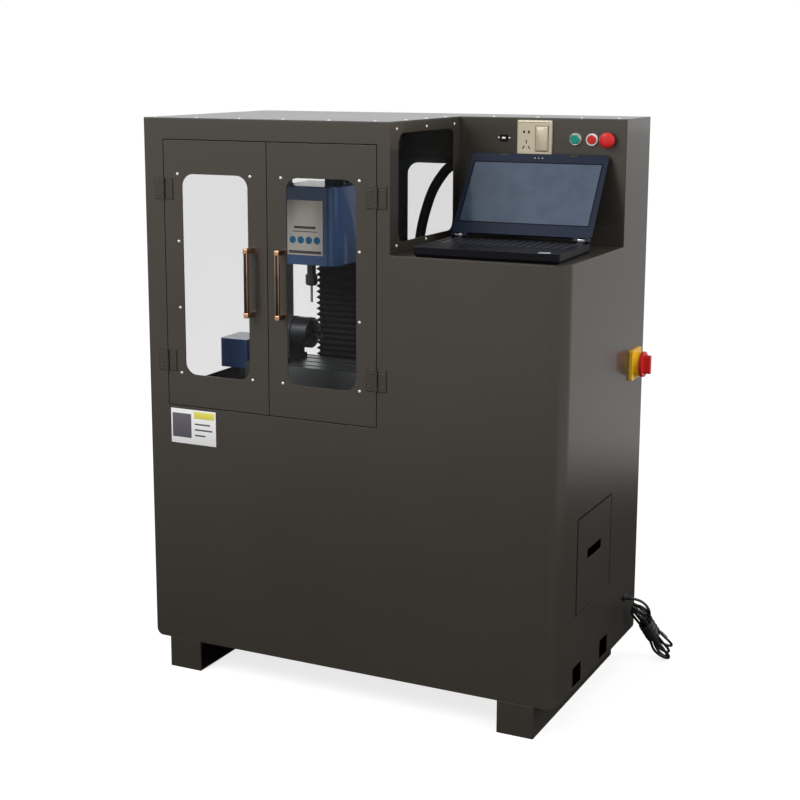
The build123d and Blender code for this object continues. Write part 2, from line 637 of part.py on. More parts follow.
knob += sideways(grip_face, disc_x[1] - 1, X_RIGHT + ISOLATOR_REACH - disc_x[1] + 1)
knob += rod_x(shaft_y, shaft_z, KNOB_SHAFT_R, (X_RIGHT - KNOB_SHAFT + 1, disc_x[0] + 1))
nodes["isolator_knob"] = knob

# Mill: base, saddle and table on dovetail ways.
mill_x = X_LEFT + MILL_FROM_LEFT
spindle_y = Y_FRONT + SPINDLE_FROM_FRONT
base_y = (Y_FRONT + BASE_FRONT, Y_FRONT + BASE_BACK)
base_z = tray_floor
way_z = base_z + BASE_FOOT
y_way_back = Y_FRONT + COLUMN_FRONT - SEAT
foot = block((mill_x - BASE_WIDTH / 2, mill_x + BASE_WIDTH / 2), base_y, (base_z, way_z))
foot = fillet(foot.edges().filter_by(Axis.Z), 12)
way = upright(dovetail(mill_x, way_z, Y_WAY, DOVE_HEIGHT), base_y[0], y_way_back - base_y[0])
groove_x = (mill_x - SCREW_GROOVE, mill_x + SCREW_GROOVE)
y_screw_z = way_z - 2
groove_low = y_screw_z - SCREW_GROOVE
groove_ends = (base_y[0] + 12, y_way_back - 12)
base_casting = foot + way - block(groove_x, groove_ends, (groove_low, way_z + DOVE_HEIGHT + 1))
base_casting -= rod_y(mill_x, y_screw_z, SCREW_R + RUNNING, (base_y[0] - 1, y_way_back - 2))
nodes["base_casting"] = base_casting
nodes["y_screw"] = rod_y(mill_x, y_screw_z, SCREW_R, (base_y[0] + 1, y_way_back - 3))
motor_x = (mill_x - MOTOR / 2, mill_x + MOTOR / 2)
y_motor = block(motor_x, (base_y[0] - MOTOR_LENGTH, base_y[0]), (base_z, base_z + MOTOR))
y_motor = fillet(y_motor.edges().filter_by(Axis.Y), 6)
nodes["y_motor"] = y_motor

saddle_z = (way_z + SEAT, way_z + SEAT + SADDLE_THICK)
saddle_x = (mill_x - SADDLE_SIZE[0] / 2, mill_x + SADDLE_SIZE[0] / 2)
saddle_y = (spindle_y - SADDLE_SIZE[1] / 2, spindle_y + SADDLE_SIZE[1] / 2)
saddle = block(saddle_x, saddle_y, saddle_z)
y_groove = dovetail(mill_x, way_z, Y_WAY, DOVE_HEIGHT + SEAT, SEAT)
saddle -= upright(y_groove, saddle_y[0] - 1, SADDLE_SIZE[1] + 2)
x_way = sideways(dovetail(spindle_y, saddle_z[1], X_WAY, DOVE_HEIGHT), saddle_x[0], SADDLE_SIZE[0])
saddle += x_way
x_screw_z = saddle_z[1] - 4
x_groove = block(
    (saddle_x[0] - 1, saddle_x[1] + 1),
    (spindle_y - SCREW_GROOVE, spindle_y + SCREW_GROOVE),
    (x_screw_z - SCREW_R - 2, saddle_z[1] + DOVE_HEIGHT + 1),
)
nut_x = (mill_x - NUT_HALF, mill_x + NUT_HALF)
nut_y = (spindle_y - NUT_HALF, spindle_y + NUT_HALF)
nut_zone = block(nut_x, saddle_y, (saddle_z[0], x_screw_z + SCREW_R + 3))
saddle -= x_groove - nut_zone
saddle -= rod_x(spindle_y, x_screw_z, SCREW_R + RUNNING, (saddle_x[0] - 1, saddle_x[1] + 1))
y_nut = block((groove_x[0] + SEAT, groove_x[1] - SEAT), nut_y, (groove_low + SEAT, way_z + DOVE_HEIGHT + 1))
saddle += y_nut - rod_y(mill_x, y_screw_z, SCREW_R + RUNNING, (nut_y[0] - 1, nut_y[1] + 1))
nodes["saddle"] = saddle

table_x = (mill_x - TABLE_LEFT_OF_SPINDLE, mill_x - TABLE_LEFT_OF_SPINDLE + TABLE_LENGTH)
table_z = (saddle_z[1] + SEAT, saddle_z[1] + SEAT + TABLE_THICK)
table_y = (spindle_y - TABLE_DEPTH / 2, spindle_y + TABLE_DEPTH / 2)
pad_x = (table_x[0] + ROTARY_FROM_TABLE_END, table_x[0] + ROTARY_FROM_TABLE_END + ROTARY_LENGTH)
pad_y = (spindle_y - ROTARY_FOOT[0] / 2, spindle_y + ROTARY_FOOT[0] / 2)
pad_top = table_z[1] + ROTARY_PAD
section = rect((table_y[0], table_z[0]), (table_y[1], table_z[1]))
pad_section = rect((pad_y[0], table_z[1] - 1), (pad_y[1], pad_top))
section -= dovetail(spindle_y, saddle_z[1], X_WAY, DOVE_HEIGHT + SEAT, SEAT)
for index in (-1, 0, 1):
    slot_y = spindle_y + index * T_PITCH
    head_top = table_z[1] - T_SLOT[1]
    neck = rect((slot_y - T_SLOT[0] / 2, head_top - 1), (slot_y + T_SLOT[0] / 2, pad_top))
    section -= neck
    pad_section -= neck
    section -= rect((slot_y - T_HEAD[0] / 2, head_top - T_HEAD[1]), (slot_y + T_HEAD[0] / 2, head_top))
table = sideways(section, table_x[0], TABLE_LENGTH) + sideways(pad_section, pad_x[0], ROTARY_LENGTH)
plate_y = (spindle_y - MOTOR / 2, spindle_y + MOTOR / 2)
plate_z = (x_screw_z - SCREW_R - 5, table_z[0] + X_COVER_UP)
plate_ends = (table_x[0] - END_PLATE, table_x[1] + END_PLATE)
for end_x in (plate_ends[0], table_x[1]):
    end_plate = block((end_x, end_x + END_PLATE), plate_y, plate_z)
    table += end_plate - rod_x(spindle_y, x_screw_z, SCREW_R + RUNNING, (end_x - 1, end_x + END_PLATE + 1))
nodes["table"] = table
nodes["x_screw"] = rod_x(spindle_y, x_screw_z, SCREW_R, (plate_ends[0] + 1, plate_ends[1] - 1))

x_cover_x = (plate_ends[0] - X_COVER[0], plate_ends[0])
x_cover_z = (plate_z[1], plate_z[1] + X_COVER[2])
x_cover = block(x_cover_x, (spindle_y - X_COVER[1] / 2, spindle_y + X_COVER[1] / 2), x_cover_z)
x_cover = fillet(x_cover.edges().filter_by(Axis.Z), 6)
x_cover += block((plate_ends[0] - X_BRACKET, plate_ends[0]), plate_y, plate_z)
nodes["x_motor_cover"] = x_cover

# Column, head and spindle.
column_y = (Y_FRONT + COLUMN_FRONT, Y_FRONT + COLUMN_BACK)
column_x = (mill_x - COLUMN_WIDTH / 2, mill_x + COLUMN_WIDTH / 2)
column = block(column_x, column_y, (way_z, COLUMN_TOP))
z_way = dovetail(mill_x, 0, Z_WAY, DOVE_HEIGHT)
z_way_face = Pos(0, column_y[0]) * mirror(z_way, Plane.XZ)
z_way_low = way_z + DOVE_HEIGHT + 10
column += level(z_way_face, z_way_low, COLUMN_TOP - z_way_low)
z_groove = (mill_x - SCREW_GROOVE - 3, mill_x + SCREW_GROOVE + 3)
z_screw_y = column_y[0] + 8
groove_z = (z_way_low + 14, COLUMN_TOP - 14)
column -= block(z_groove, (column_y[0] - DOVE_HEIGHT - 1, z_screw_y + Z_SCREW_R + 5), groove_z)
pocket_x = (column_x[0] + COLUMN_WALL, column_x[1] - COLUMN_WALL)
pocket_y = (z_screw_y + Z_SCREW_R + 5 + COLUMN_WALL, column_y[1] + 1)
column -= block(pocket_x, pocket_y, (way_z + 40, COLUMN_TOP - 30))
column -= rod_z(mill_x, z_screw_y, Z_SCREW_R + RUNNING, (z_way_low + 4, COLUMN_TOP + 1))
nodes["column"] = column
nodes["z_screw"] = rod_z(mill_x, z_screw_y, Z_SCREW_R, (z_way_low + 4 + SEAT, COLUMN_TOP - SEAT))
z_motor_y = (z_screw_y - MOTOR / 2, z_screw_y + MOTOR / 2)
z_motor = block(motor_x, z_motor_y, (COLUMN_TOP, COLUMN_TOP + MOTOR_LENGTH))
nodes["z_motor"] = fillet(z_motor.edges().filter_by(Axis.Z), 6)

cover_front = spindle_y - HEAD_COVER_AHEAD
cover_x = (mill_x - HEAD_COVER[0] / 2, mill_x + HEAD_COVER[0] / 2)
head_y = (cover_front, cover_front + HEAD_COVER[1])
head_z = (HEAD_BOTTOM, HEAD_BOTTOM + HEAD_COVER[2])


def head_outline(inset):
    """The head cover seen from above: two large front corners, open at the back."""
    outline = rect((cover_x[0] + inset, head_y[0] + inset), (cover_x[1] - inset, head_y[1]))
    fronts = outline.vertices().sort_by(Axis.Y)[:2]
    return fillet(fronts, HEAD_COVER_R - inset)


casting_low = HEAD_BOTTOM + HEAD_COVER_WALL
casting_z = (casting_low, casting_low + HEAD_CASTING[1])
hood = level(head_outline(0), head_z[0], HEAD_COVER[2])
hood = fillet(hood.faces().sort_by(Axis.Z)[-1].edges().filter_by(Plane.XY).sort_by(Axis.Y)[:-1], 3)
hollow_z = (head_z[0] + HEAD_COVER_WALL, head_z[1] - HEAD_COVER_WALL)
hood -= level(head_outline(HEAD_COVER_WALL), hollow_z[0], hollow_z[1] - hollow_z[0])
hood -= rod_z(mill_x, spindle_y, SPINDLE_NUT_R + 4, (head_z[0] - 1, head_z[0] + HEAD_COVER_WALL + 1))
nodes["head_cover"] = hood

carriage_x = (mill_x - HEAD_CASTING[0] / 2, mill_x + HEAD_CASTING[0] / 2)
carriage_y = (head_y[1] - CARRIAGE_IN_COVER, column_y[0] - SEAT)
carriage = block(carriage_x, carriage_y, casting_z)
arm_x = (mill_x - ARM_WIDTH / 2, mill_x + ARM_WIDTH / 2)
arm_top = casting_z[0] + ARM_HEIGHT
carriage += block(arm_x, (spindle_y, carriage_y[0]), (casting_z[0], arm_top))
carriage += rod_z(mill_x, spindle_y, SPINDLE_HOUSING_R, (casting_z[0], arm_top))
z_groove_section = dovetail(mill_x, 0, Z_WAY, DOVE_HEIGHT + SEAT, SEAT)
z_groove_face = Pos(0, column_y[0]) * mirror(z_groove_section, Plane.XZ)
carriage -= level(z_groove_face, casting_z[0] - 1, HEAD_CASTING[1] + 2)
nut_z = (casting_z[0] + 60, casting_z[0] + 100)
z_nut_y = (column_y[0] - DOVE_HEIGHT - 2, z_screw_y + Z_SCREW_R + 4)
z_nut = block((z_groove[0] + SEAT, z_groove[1] - SEAT), z_nut_y, nut_z)
z_nut -= rod_z(mill_x, z_screw_y, Z_SCREW_R + RUNNING, (nut_z[0] - 1, nut_z[1] + 1))
carriage += z_nut
carriage -= rod_z(mill_x, spindle_y, SPINDLE_R + RUNNING, (casting_z[0] - 1, arm_top + 1))
nodes["head_casting"] = carriage

nose_z = HEAD_BOTTOM - SPINDLE_NOSE
spindle = rod_z(mill_x, spindle_y, SPINDLE_R, (nose_z, arm_top + 6))
nut = rod_z(mill_x, spindle_y, SPINDLE_NUT_R, (nose_z, nose_z + SPINDLE_NUT))
nut = chamfer(nut.edges().filter_by(GeomType.CIRCLE).sort_by(Axis.Z)[0], 4)
spindle += nut
spindle -= rod_z(mill_x, spindle_y, CUTTER_R, (nose_z - 1, nose_z + CUTTER_HELD))
nodes["spindle"] = spindle
shank = rod_z(mill_x, spindle_y, CUTTER_R, (nose_z - CUTTER_OUT, nose_z + CUTTER_HELD))
flute_z = (nose_z - CUTTER_OUT - 1, nose_z - CUTTER_OUT + CUTTER_FLUTES)
for angle in range(0, 360, 90):
    turn = Pos(mill_x, spindle_y) * Rot(0, 0, angle)
    shank -= turn * (Pos(CUTTER_R, 0) * block((-1.2, 1.2), (-1.2, 1.2), flute_z))
nodes["end_mill"] = shank
motor_seat = arm_top + 6 + SEAT
spindle_motor = rod_z(mill_x, spindle_y, SPINDLE_MOTOR_R, (motor_seat, motor_seat + SPINDLE_MOTOR))
spindle_motor += block(motor_x, (spindle_y, carriage_y[0]), (arm_top, motor_seat + SPINDLE_MOTOR))
spindle_motor -= rod_z(mill_x, spindle_y, SPINDLE_R + 2, (arm_top - 1, motor_seat))
nodes["spindle_motor"] = spindle_motor

# Bellows in front of the Z ways, from the base up to the head.
bellows_y = (Y_FRONT + BELLOWS_FRONT, column_y[0] - DOVE_HEIGHT - SEAT)
bellows_z = (way_z + DOVE_HEIGHT, casting_low - SEAT)
pleat = (bellows_z[1] - bellows_z[0]) / BELLOWS_PLEATS


def pleated(centre, reach):
    """The points of one zigzag side, upwards, with its outer folds `reach` from `centre`."""
    points = []
    for index in range(2 * BELLOWS_PLEATS + 1):
        inset = BELLOWS_FOLD * (index % 2 == 0)
        points.append((centre + reach - inset, bellows_z[0] + index * pleat / 2))
    return points


sides = pleated(mill_x, BELLOWS_WIDTH / 2)
sides += [(2 * mill_x - x, z) for x, z in reversed(sides)]
front = [(2 * bellows_y[1] - y, z) for y, z in pleated(bellows_y[1], bellows_y[1] - bellows_y[0])]
front += [(bellows_y[1], bellows_z[1]), (bellows_y[1], bellows_z[0])]
bellows = upright(make_face(Polyline(*sides, close=True)), bellows_y[0], bellows_y[1] - bellows_y[0])
bellows &= sideways(make_face(Polyline(*front, close=True)), mill_x - BELLOWS_WIDTH / 2, BELLOWS_WIDTH)
nodes["z_bellows"] = bellows

# Rotary chuck: housing on the table's low pad, chuck and three jaws.
axis_z = table_z[1] + CHUCK_HEIGHT
rotary_x = pad_x
housing_face = rect((spindle_y - ROTARY_WIDTH / 2, pad_top), (spindle_y + ROTARY_WIDTH / 2, axis_z))
housing_face += Pos(spindle_y, axis_z) * Circle(ROTARY_WIDTH / 2)
housing = sideways(housing_face, rotary_x[0], ROTARY_LENGTH)
housing += block(rotary_x, pad_y, (pad_top, pad_top + ROTARY_FOOT[1]))
housing -= rod_x(spindle_y, axis_z, CHUCK_SHAFT_R + RUNNING, (rotary_x[1] - CHUCK_SHAFT, rotary_x[1] + 1))
nodes["rotary_housing"] = housing
chuck_x = (rotary_x[1] + SEAT, rotary_x[1] + SEAT + CHUCK_LENGTH)
chuck = rod_x(spindle_y, axis_z, CHUCK_R, chuck_x)
chuck = chamfer(chuck.edges().filter_by(GeomType.CIRCLE), 1.5)
chuck += rod_x(spindle_y, axis_z, CHUCK_SHAFT_R, (rotary_x[1] - CHUCK_SHAFT + 1, chuck_x[0] + 1))
chuck -= rod_x(spindle_y, axis_z, CHUCK_BORE_R, (rotary_x[1] - CHUCK_SHAFT, chuck_x[1] + 1))
jaw_x = chuck_x[1] - JAW_GROOVE
for index in range(3):
    turn = Pos(0, spindle_y, axis_z) * Rot(90 + 120 * index, 0, 0)
    half = JAW_WIDTH / 2
    chuck -= turn * block((jaw_x, chuck_x[1] + 1), (0, CHUCK_R + 1), (-half - SEAT, half + SEAT))
    jaw = block((jaw_x + SEAT, chuck_x[1] + JAW_OUT / 2), JAW_RADII, (-half, half))
    for share, reach in ((1.0, JAW_STEP), (0.75, 1.6 * JAW_STEP)):
        step_x = (jaw_x + SEAT, chuck_x[1] + share * JAW_OUT)
        jaw += block(step_x, (JAW_RADII[0], JAW_RADII[0] + reach), (-half, half))
    nodes[f"chuck_jaw_{index + 1}"] = turn * jaw
nodes["chuck_body"] = chuck

# Laptop, modelled closed in its own place and then turned, the lid swung open.
place = Pos(RECESS_X + LAPTOP_FROM_RECESS, Y_FRONT + LAPTOP_Y, SHELF_Z) * Rot(0, 0, LAPTOP_YAW)
wide = LAPTOP_WIDTH / 2
plan = rounded((-wide, -LAPTOP_DEPTH), (wide, 0), LAPTOP_CORNER_R)
laptop = level(plan, 0, LAPTOP_BASE)
laptop = chamfer(laptop.faces().sort_by(Axis.Z)[0].edges(), 7, 5)
well_width = KEY_COLUMNS * KEY_PITCH[0] + 4
well_back = -22.0
well_front = well_back - KEY_ROWS * KEY_PITCH[1] - 3
well = rounded((-well_width / 2, well_front), (well_width / 2, well_back), 3)
laptop -= level(well, LAPTOP_BASE - KEY_WELL, KEY_WELL + 1)
touch_y = (-LAPTOP_DEPTH + 18, -LAPTOP_DEPTH + 18 + TOUCHPAD[1])
touch_x = (-TOUCHPAD[0] / 2 - PAD_LEFT, TOUCHPAD[0] / 2 - PAD_LEFT)
laptop -= level(rect((touch_x[0], touch_y[0]), (touch_x[1], touch_y[1])), LAPTOP_BASE - PAD_DEEP, 1)
keys = Sketch()
for row in range(KEY_ROWS):
    for column_index in range(KEY_COLUMNS):
        key_x = (column_index - (KEY_COLUMNS - 1) / 2) * KEY_PITCH[0]
        key_y = well_back - 1.5 - (row + 0.5) * KEY_PITCH[1]
        keys += Pos(key_x, key_y) * Rectangle(*KEY_SIZE)
laptop += level(keys, LAPTOP_BASE - KEY_WELL, KEY_HEIGHT)
hinge_y = -BARREL_R
hinge_z = LAPTOP_BASE + BARREL_R + 0.2
for side in (-1, 1):
    barrel_x = (side * BARREL_SPREAD - BARREL_WIDTH / 2, side * BARREL_SPREAD + BARREL_WIDTH / 2)
    laptop += rod_x(hinge_y, hinge_z, BARREL_R, barrel_x)
    laptop += block(barrel_x, (hinge_y - BARREL_R, 0), (LAPTOP_BASE - 0.1, LAPTOP_BASE + 2))
    pin_x = (barrel_x[0] - 9, barrel_x[1] + 9)
    laptop += rod_x(hinge_y, hinge_z, BARREL_PIN_R, pin_x)
nodes["laptop_base"] = place * laptop

lid_z = (LAPTOP_BASE + 0.8, LAPTOP_BASE + 0.8 + LID_THICK)
lid_back = hinge_y - LID_START
lid = level(rounded((-wide, -LAPTOP_DEPTH), (wide, lid_back), LAPTOP_CORNER_R), lid_z[0], LID_THICK)
lid = chamfer(lid.faces().sort_by(Axis.Z)[-1].edges(), 1.5)
screen_y = (-LAPTOP_DEPTH + SCREEN_FROM_EDGE, -LAPTOP_DEPTH + SCREEN_FROM_EDGE + SCREEN[1])
screen_face = rect((-SCREEN[0] / 2, screen_y[0]), (SCREEN[0] / 2, screen_y[1]))
lid -= level(screen_face, lid_z[0] - 1, 1 + SCREEN_DEEP)
for side in (-1, 1):
    for outward in (-1, 1):
        near = side * BARREL_SPREAD + outward * (BARREL_WIDTH / 2 + SEAT)
        far = near + outward * 10
        knuckle_x = (min(near, far), max(near, far))
        lid += rod_x(hinge_y, hinge_z, BARREL_R, knuckle_x) + block(
            knuckle_x, (lid_back - 2, hinge_y), (lid_z[0] + 0.4, hinge_z + BARREL_R - 0.4)
        )
        lid -= rod_x(hinge_y, hinge_z, BARREL_PIN_R + RUNNING, knuckle_x)
screen = level(screen_face, lid_z[0] + SCREEN_DEEP / 3, SCREEN_DEEP * 2 / 3)
swing = Pos(0, hinge_y, hinge_z) * Rot(-(90 + LID_LEAN), 0, 0) * Pos(0, -hinge_y, -hinge_z)
nodes["laptop_lid"] = place * swing * lid
nodes["laptop_screen"] = place * swing * screen

# Stand under the tray that carries the mill.
stand_z = (RUNNER_HEIGHT + SHEET, TRAY_Z)
stand_x = (mill_x - BASE_WIDTH / 2, mill_x + BASE_WIDTH / 2)
stand = block(stand_x, base_y, stand_z)
hollow_x = (stand_x[0] + STAND_WALL, stand_x[1] - STAND_WALL)
hollow_y = (base_y[0] + STAND_WALL, base_y[1] - STAND_WALL)
stand -= block(hollow_x, hollow_y, (stand_z[0] - 1, stand_z[1] + 1))
gap_z = (stand_z[0] - 1, TRAY_Z - STAND_LEG)
stand -= block((stand_x[0] + STAND_LEG, stand_x[1] - STAND_LEG), (base_y[0] - 1, base_y[1] + 1), gap_z)
stand -= block((stand_x[0] - 1, stand_x[1] + 1), (base_y[0] + STAND_LEG, base_y[1] - STAND_LEG), gap_z)
nodes["mill_stand"] = stand

# Conduit: an arch from the partition down to the tray.
conduit_route = [(RECESS_X - SHEET, conduit_y, CONDUIT_Z)]
conduit_route += [(RECESS_X - out, conduit_y, CONDUIT_Z - down) for out, down in CONDUIT_BENDS]
conduit_route += [
    (RECESS_X - CONDUIT_TO_FLOOR, conduit_y, tray_floor + 150),
    (RECESS_X - CONDUIT_TO_FLOOR, conduit_y, tray_floor),
]


def tube(route, radius):
    """A round tube along straight runs joined by the largest arcs that they allow."""
    points = [Vector(*p) for p in route]
    radii = []
    for a, b, c in zip(points, points[1:], points[2:]):
        turn = radians((b - a).get_angle(c - b))
        shorter = min((b - a).length, (c - b).length)
        radii.append(0.45 * shorter / tan(turn / 2))
    path = FilletPolyline(*points, radius=radii)
    start = path @ 0
    solid = sweep(Plane(start, z_dir=path % 0) * Circle(radius), path=path)
    return solid, path.length, min(radii)


conduit, conduit_length, conduit_bend = tube(conduit_route, CONDUIT_R)
print("conduit length", round(conduit_length), "tightest bend", round(conduit_bend))
nodes["wiring_conduit"] = conduit

# Mains lead: gland, short run and a tied hank that leans on the floor.
exit_x = X_RIGHT + GLAND_LENGTH
gland = make_face(
    Polyline(
        (X_RIGHT, CORD_R + RUNNING),
        (X_RIGHT, GLAND_R),
        (X_RIGHT + 6, GLAND_R),
        (X_RIGHT + 8, CORD_R + 3),
        (exit_x, CORD_R + 1.2),
        (exit_x, CORD_R + RUNNING),
        close=True,
    )
)
nodes["cord_gland"] = Pos(0, gland_y, CORD_EXIT_Z) * revolve(gland, Axis.X)


cord_route = [
    (exit_x, gland_y, CORD_EXIT_Z),
    (X_RIGHT + 42, gland_y + 1, CORD_EXIT_Z - 1),
    (X_RIGHT + 59, gland_y + 6, CORD_EXIT_Z - 14),
    (X_RIGHT + 66, gland_y + 14, CORD_EXIT_Z - 34),
    (X_RIGHT + 60, gland_y + 26, CORD_EXIT_Z - 56),
]
cord, cord_length, cord_bend = tube(cord_route, CORD_R)
print("cord run", round(cord_length), "tightest bend", round(cord_bend))
nodes["mains_cord"] = cord

hank_top = Vector(X_RIGHT + HANK_TOP[0], gland_y + HANK_TOP[1], HANK_TOP[2])
hank_low = Vector(X_RIGHT + HANK_LOW[0], gland_y + HANK_LOW[1], HANK_LOW[2])
along = hank_low - hank_top
across = along.cross(Vector(0, 0, 1)).normalized()
hank_place = Plane(hank_top, x_dir=across, z_dir=along.normalized())
shares = [share * along.length for share, width, depth in HANK_STATIONS]
widths = [width / 2 for share, width, depth in HANK_STATIONS]
depths = [depth / 2 for share, width, depth in HANK_STATIONS]


def waisted(halves, thick):
    """A slab along Z whose half width follows the stations, `thick` to each side of it."""
    points = list(zip(halves, shares))
    points += [(-half, share) for half, share in reversed(points)]
    return extrude(Plane.XZ * make_face(Polyline(*points, close=True)), thick, both=True)


hank = waisted(widths, max(depths)) & (Rot(0, 0, 90) * waisted(depths, max(widths)))
nodes["cord_hank"] = hank_place.location * hank
print("hank lowest", round(nodes["cord_hank"].bounding_box().min.Z, 2))

for name, shape in nodes.items():
    export_step(shape, f"parts/{name}.step")
print(len(nodes), "nodes")
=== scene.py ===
# %% [markdown]
# A small milling machine stands in a bronze-grey sheet-metal cabinet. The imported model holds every
# piece at its real size, so this lesson starts from it as a fixed frame and adds only looks:
# finishes, the mains lead, screws, plates, soft bellows and the studio.
# %% Load the frame
import math

import bmesh
import bpy
from mathutils import Matrix, Vector


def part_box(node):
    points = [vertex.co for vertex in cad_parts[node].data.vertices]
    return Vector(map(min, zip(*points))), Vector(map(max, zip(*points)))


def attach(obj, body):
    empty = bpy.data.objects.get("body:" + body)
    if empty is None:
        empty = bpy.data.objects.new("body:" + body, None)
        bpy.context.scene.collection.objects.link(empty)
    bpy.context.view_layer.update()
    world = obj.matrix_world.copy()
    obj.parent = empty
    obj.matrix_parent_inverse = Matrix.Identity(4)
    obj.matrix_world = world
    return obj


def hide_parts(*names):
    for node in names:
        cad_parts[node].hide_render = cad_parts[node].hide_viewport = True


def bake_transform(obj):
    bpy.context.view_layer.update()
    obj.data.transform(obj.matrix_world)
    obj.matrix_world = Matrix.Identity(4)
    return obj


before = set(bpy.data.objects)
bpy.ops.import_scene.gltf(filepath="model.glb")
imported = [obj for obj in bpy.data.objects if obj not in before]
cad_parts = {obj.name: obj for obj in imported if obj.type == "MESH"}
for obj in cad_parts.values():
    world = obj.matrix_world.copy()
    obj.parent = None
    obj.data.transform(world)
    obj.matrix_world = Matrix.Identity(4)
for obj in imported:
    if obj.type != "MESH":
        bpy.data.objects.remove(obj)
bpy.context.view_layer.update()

MM = 0.001

# %% [markdown]
# The photograph was taken from the front right, a little above the table, with a long lens. A
# camera is set up from that place. A small shift keeps the verticals where the photograph has them,
# and is better than tilting the camera, which would make the cabinet's sides lean together.
# %% Camera
IMAGE = 800.0
FOCAL_PIXELS = 1537.0
IMAGE_CENTRE = (369.8, 353.7)
CAMERA_PLACE = (1.5849, -3.3306, 1.504)
CAMERA_YAW = 26.676
CAMERA_DOWN = 10.784
lens = bpy.data.cameras.new("camera")
lens.sensor_width = 36.0
lens.lens = FOCAL_PIXELS * lens.sensor_width / IMAGE
lens.shift_x = (IMAGE / 2 - IMAGE_CENTRE[0]) / IMAGE
lens.shift_y = (IMAGE_CENTRE[1] - IMAGE / 2) / IMAGE
camera = bpy.data.objects.new("camera", lens)
camera.location = CAMERA_PLACE
camera.rotation_euler = (math.radians(90 - CAMERA_DOWN), 0, math.radians(CAMERA_YAW))
bpy.context.collection.objects.link(camera)
bpy.context.scene.camera = camera
bpy.context.scene.view_settings.view_transform = "Standard"
print("lens", round(lens.lens, 2), "mm")

# %% [markdown]
# Small helpers save repetition. One turns a bmesh into an object that rides on a body of the frame.
# Another makes a rounded block, which is the shape that most folded and moulded parts start from.
# %% Helpers for pieces


def mm(*values):
    """Millimetres as the metres that Blender works in."""
    return tuple(value * MM for value in values)


def piece(name, bm, material, body, angle=35.0):
    """Makes an object from a bmesh, smooth except at sharp edges, and rides it on a body."""
    mesh = bpy.data.meshes.new(name)
    bmesh.ops.recalc_face_normals(bm, faces=bm.faces)
    bm.to_mesh(mesh)
    bm.free()
    mesh.polygons.foreach_set("use_smooth", [True] * len(mesh.polygons))
    mesh.set_sharp_from_angle(angle=math.radians(angle))
    mesh.materials.append(material)
    made = bpy.data.objects.new(name, mesh)
    bpy.context.collection.objects.link(made)
    if body:
        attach(made, body)
    return made


def add_block(bm, low, high, bevel=0.0, segments=2):
    """Adds a box between two corners to a bmesh, with its edges rounded."""
    low, high = Vector(low), Vector(high)
    place = Matrix.Translation((low + high) / 2) @ Matrix.Diagonal((*(high - low), 1))
    made = bmesh.ops.create_cube(bm, size=1.0, matrix=place)
    if bevel:
        edges = {edge for vert in made["verts"] for edge in vert.link_edges}
        bmesh.ops.bevel(
            bm,
            geom=list(edges),
            offset=bevel,
            segments=segments,
            affect="EDGES",
            profile=0.5,
            material=-1,
        )


def block_piece(name, low, high, material, body, bevel):
    """One rounded block as a piece of its own."""
    bm = bmesh.new()
    add_block(bm, low, high, bevel)
    piece(name, bm, material, body)


print("one millimetre is", mm(1)[0], "m")

# %% [markdown]
# A material is a tree of nodes, and a node group is a small tree with named sockets that many
# materials share. A few helpers keep the wiring short: an empty group, Math and Vector Math nodes
# that take sockets or plain numbers, and a noise.
# %% Helpers for nodes


def group_with(name, inputs, outputs):
    """An empty node group with named sockets, and its input and output nodes."""
    tree = bpy.data.node_groups.new(name, "ShaderNodeTree")
    for label, kind, value in inputs:
        socket = tree.interface.new_socket(label, in_out="INPUT", socket_type=kind)
        if value is not None:
            socket.default_value = value
    for label, kind in outputs:
        tree.interface.new_socket(label, in_out="OUTPUT", socket_type=kind)
    return tree, tree.nodes.new("NodeGroupInput"), tree.nodes.new("NodeGroupOutput")


def feed(tree, node, *given):
    """Fills a node's inputs in order, None leaves one as it is; gives its first output."""
    for socket, value in zip(node.inputs, given):
        if isinstance(value, (float, tuple)):
            socket.default_value = value
        elif value is not None:
            tree.links.new(value, socket)
    return node.outputs[0]


def math_node(tree, operation, *given, clamp=False):
    """A Math node on sockets and plain numbers; gives the socket of its result."""
    made = tree.nodes.new("ShaderNodeMath")
    made.operation = operation
    made.use_clamp = clamp
    return feed(tree, made, *given)


def vector_node(tree, operation, *given):
    """A Vector Math node on sockets and plain vectors; gives the node."""
    made = tree.nodes.new("ShaderNodeVectorMath")
    made.operation = operation
    feed(tree, made, *given)
    return made


def noise_value(tree, vector, scale, detail):
    """The value of a noise over a vector, at a scale that comes from a socket."""
    noise = tree.nodes.new("ShaderNodeTexNoise")
    noise.inputs["Detail"].default_value = detail
    tree.links.new(vector, noise.inputs["Vector"])
    tree.links.new(scale, noise.inputs["Scale"])
    return noise.outputs["Fac"]


print("node groups", len(bpy.data.node_groups))

# %% [markdown]
# No real surface has one flat colour. Three effects are shared by many finishes, so each is a node
# group: a cloudy change of tone, the orange peel of sprayed paint and moulded plastic, and the fine
# parallel lines of ground or brushed metal. A group puts out colours and values only, and each
# material keeps its own shader.
# %% Node groups
VECTOR, COLOUR, VALUE = "NodeSocketVector", "NodeSocketColor", "NodeSocketFloat"


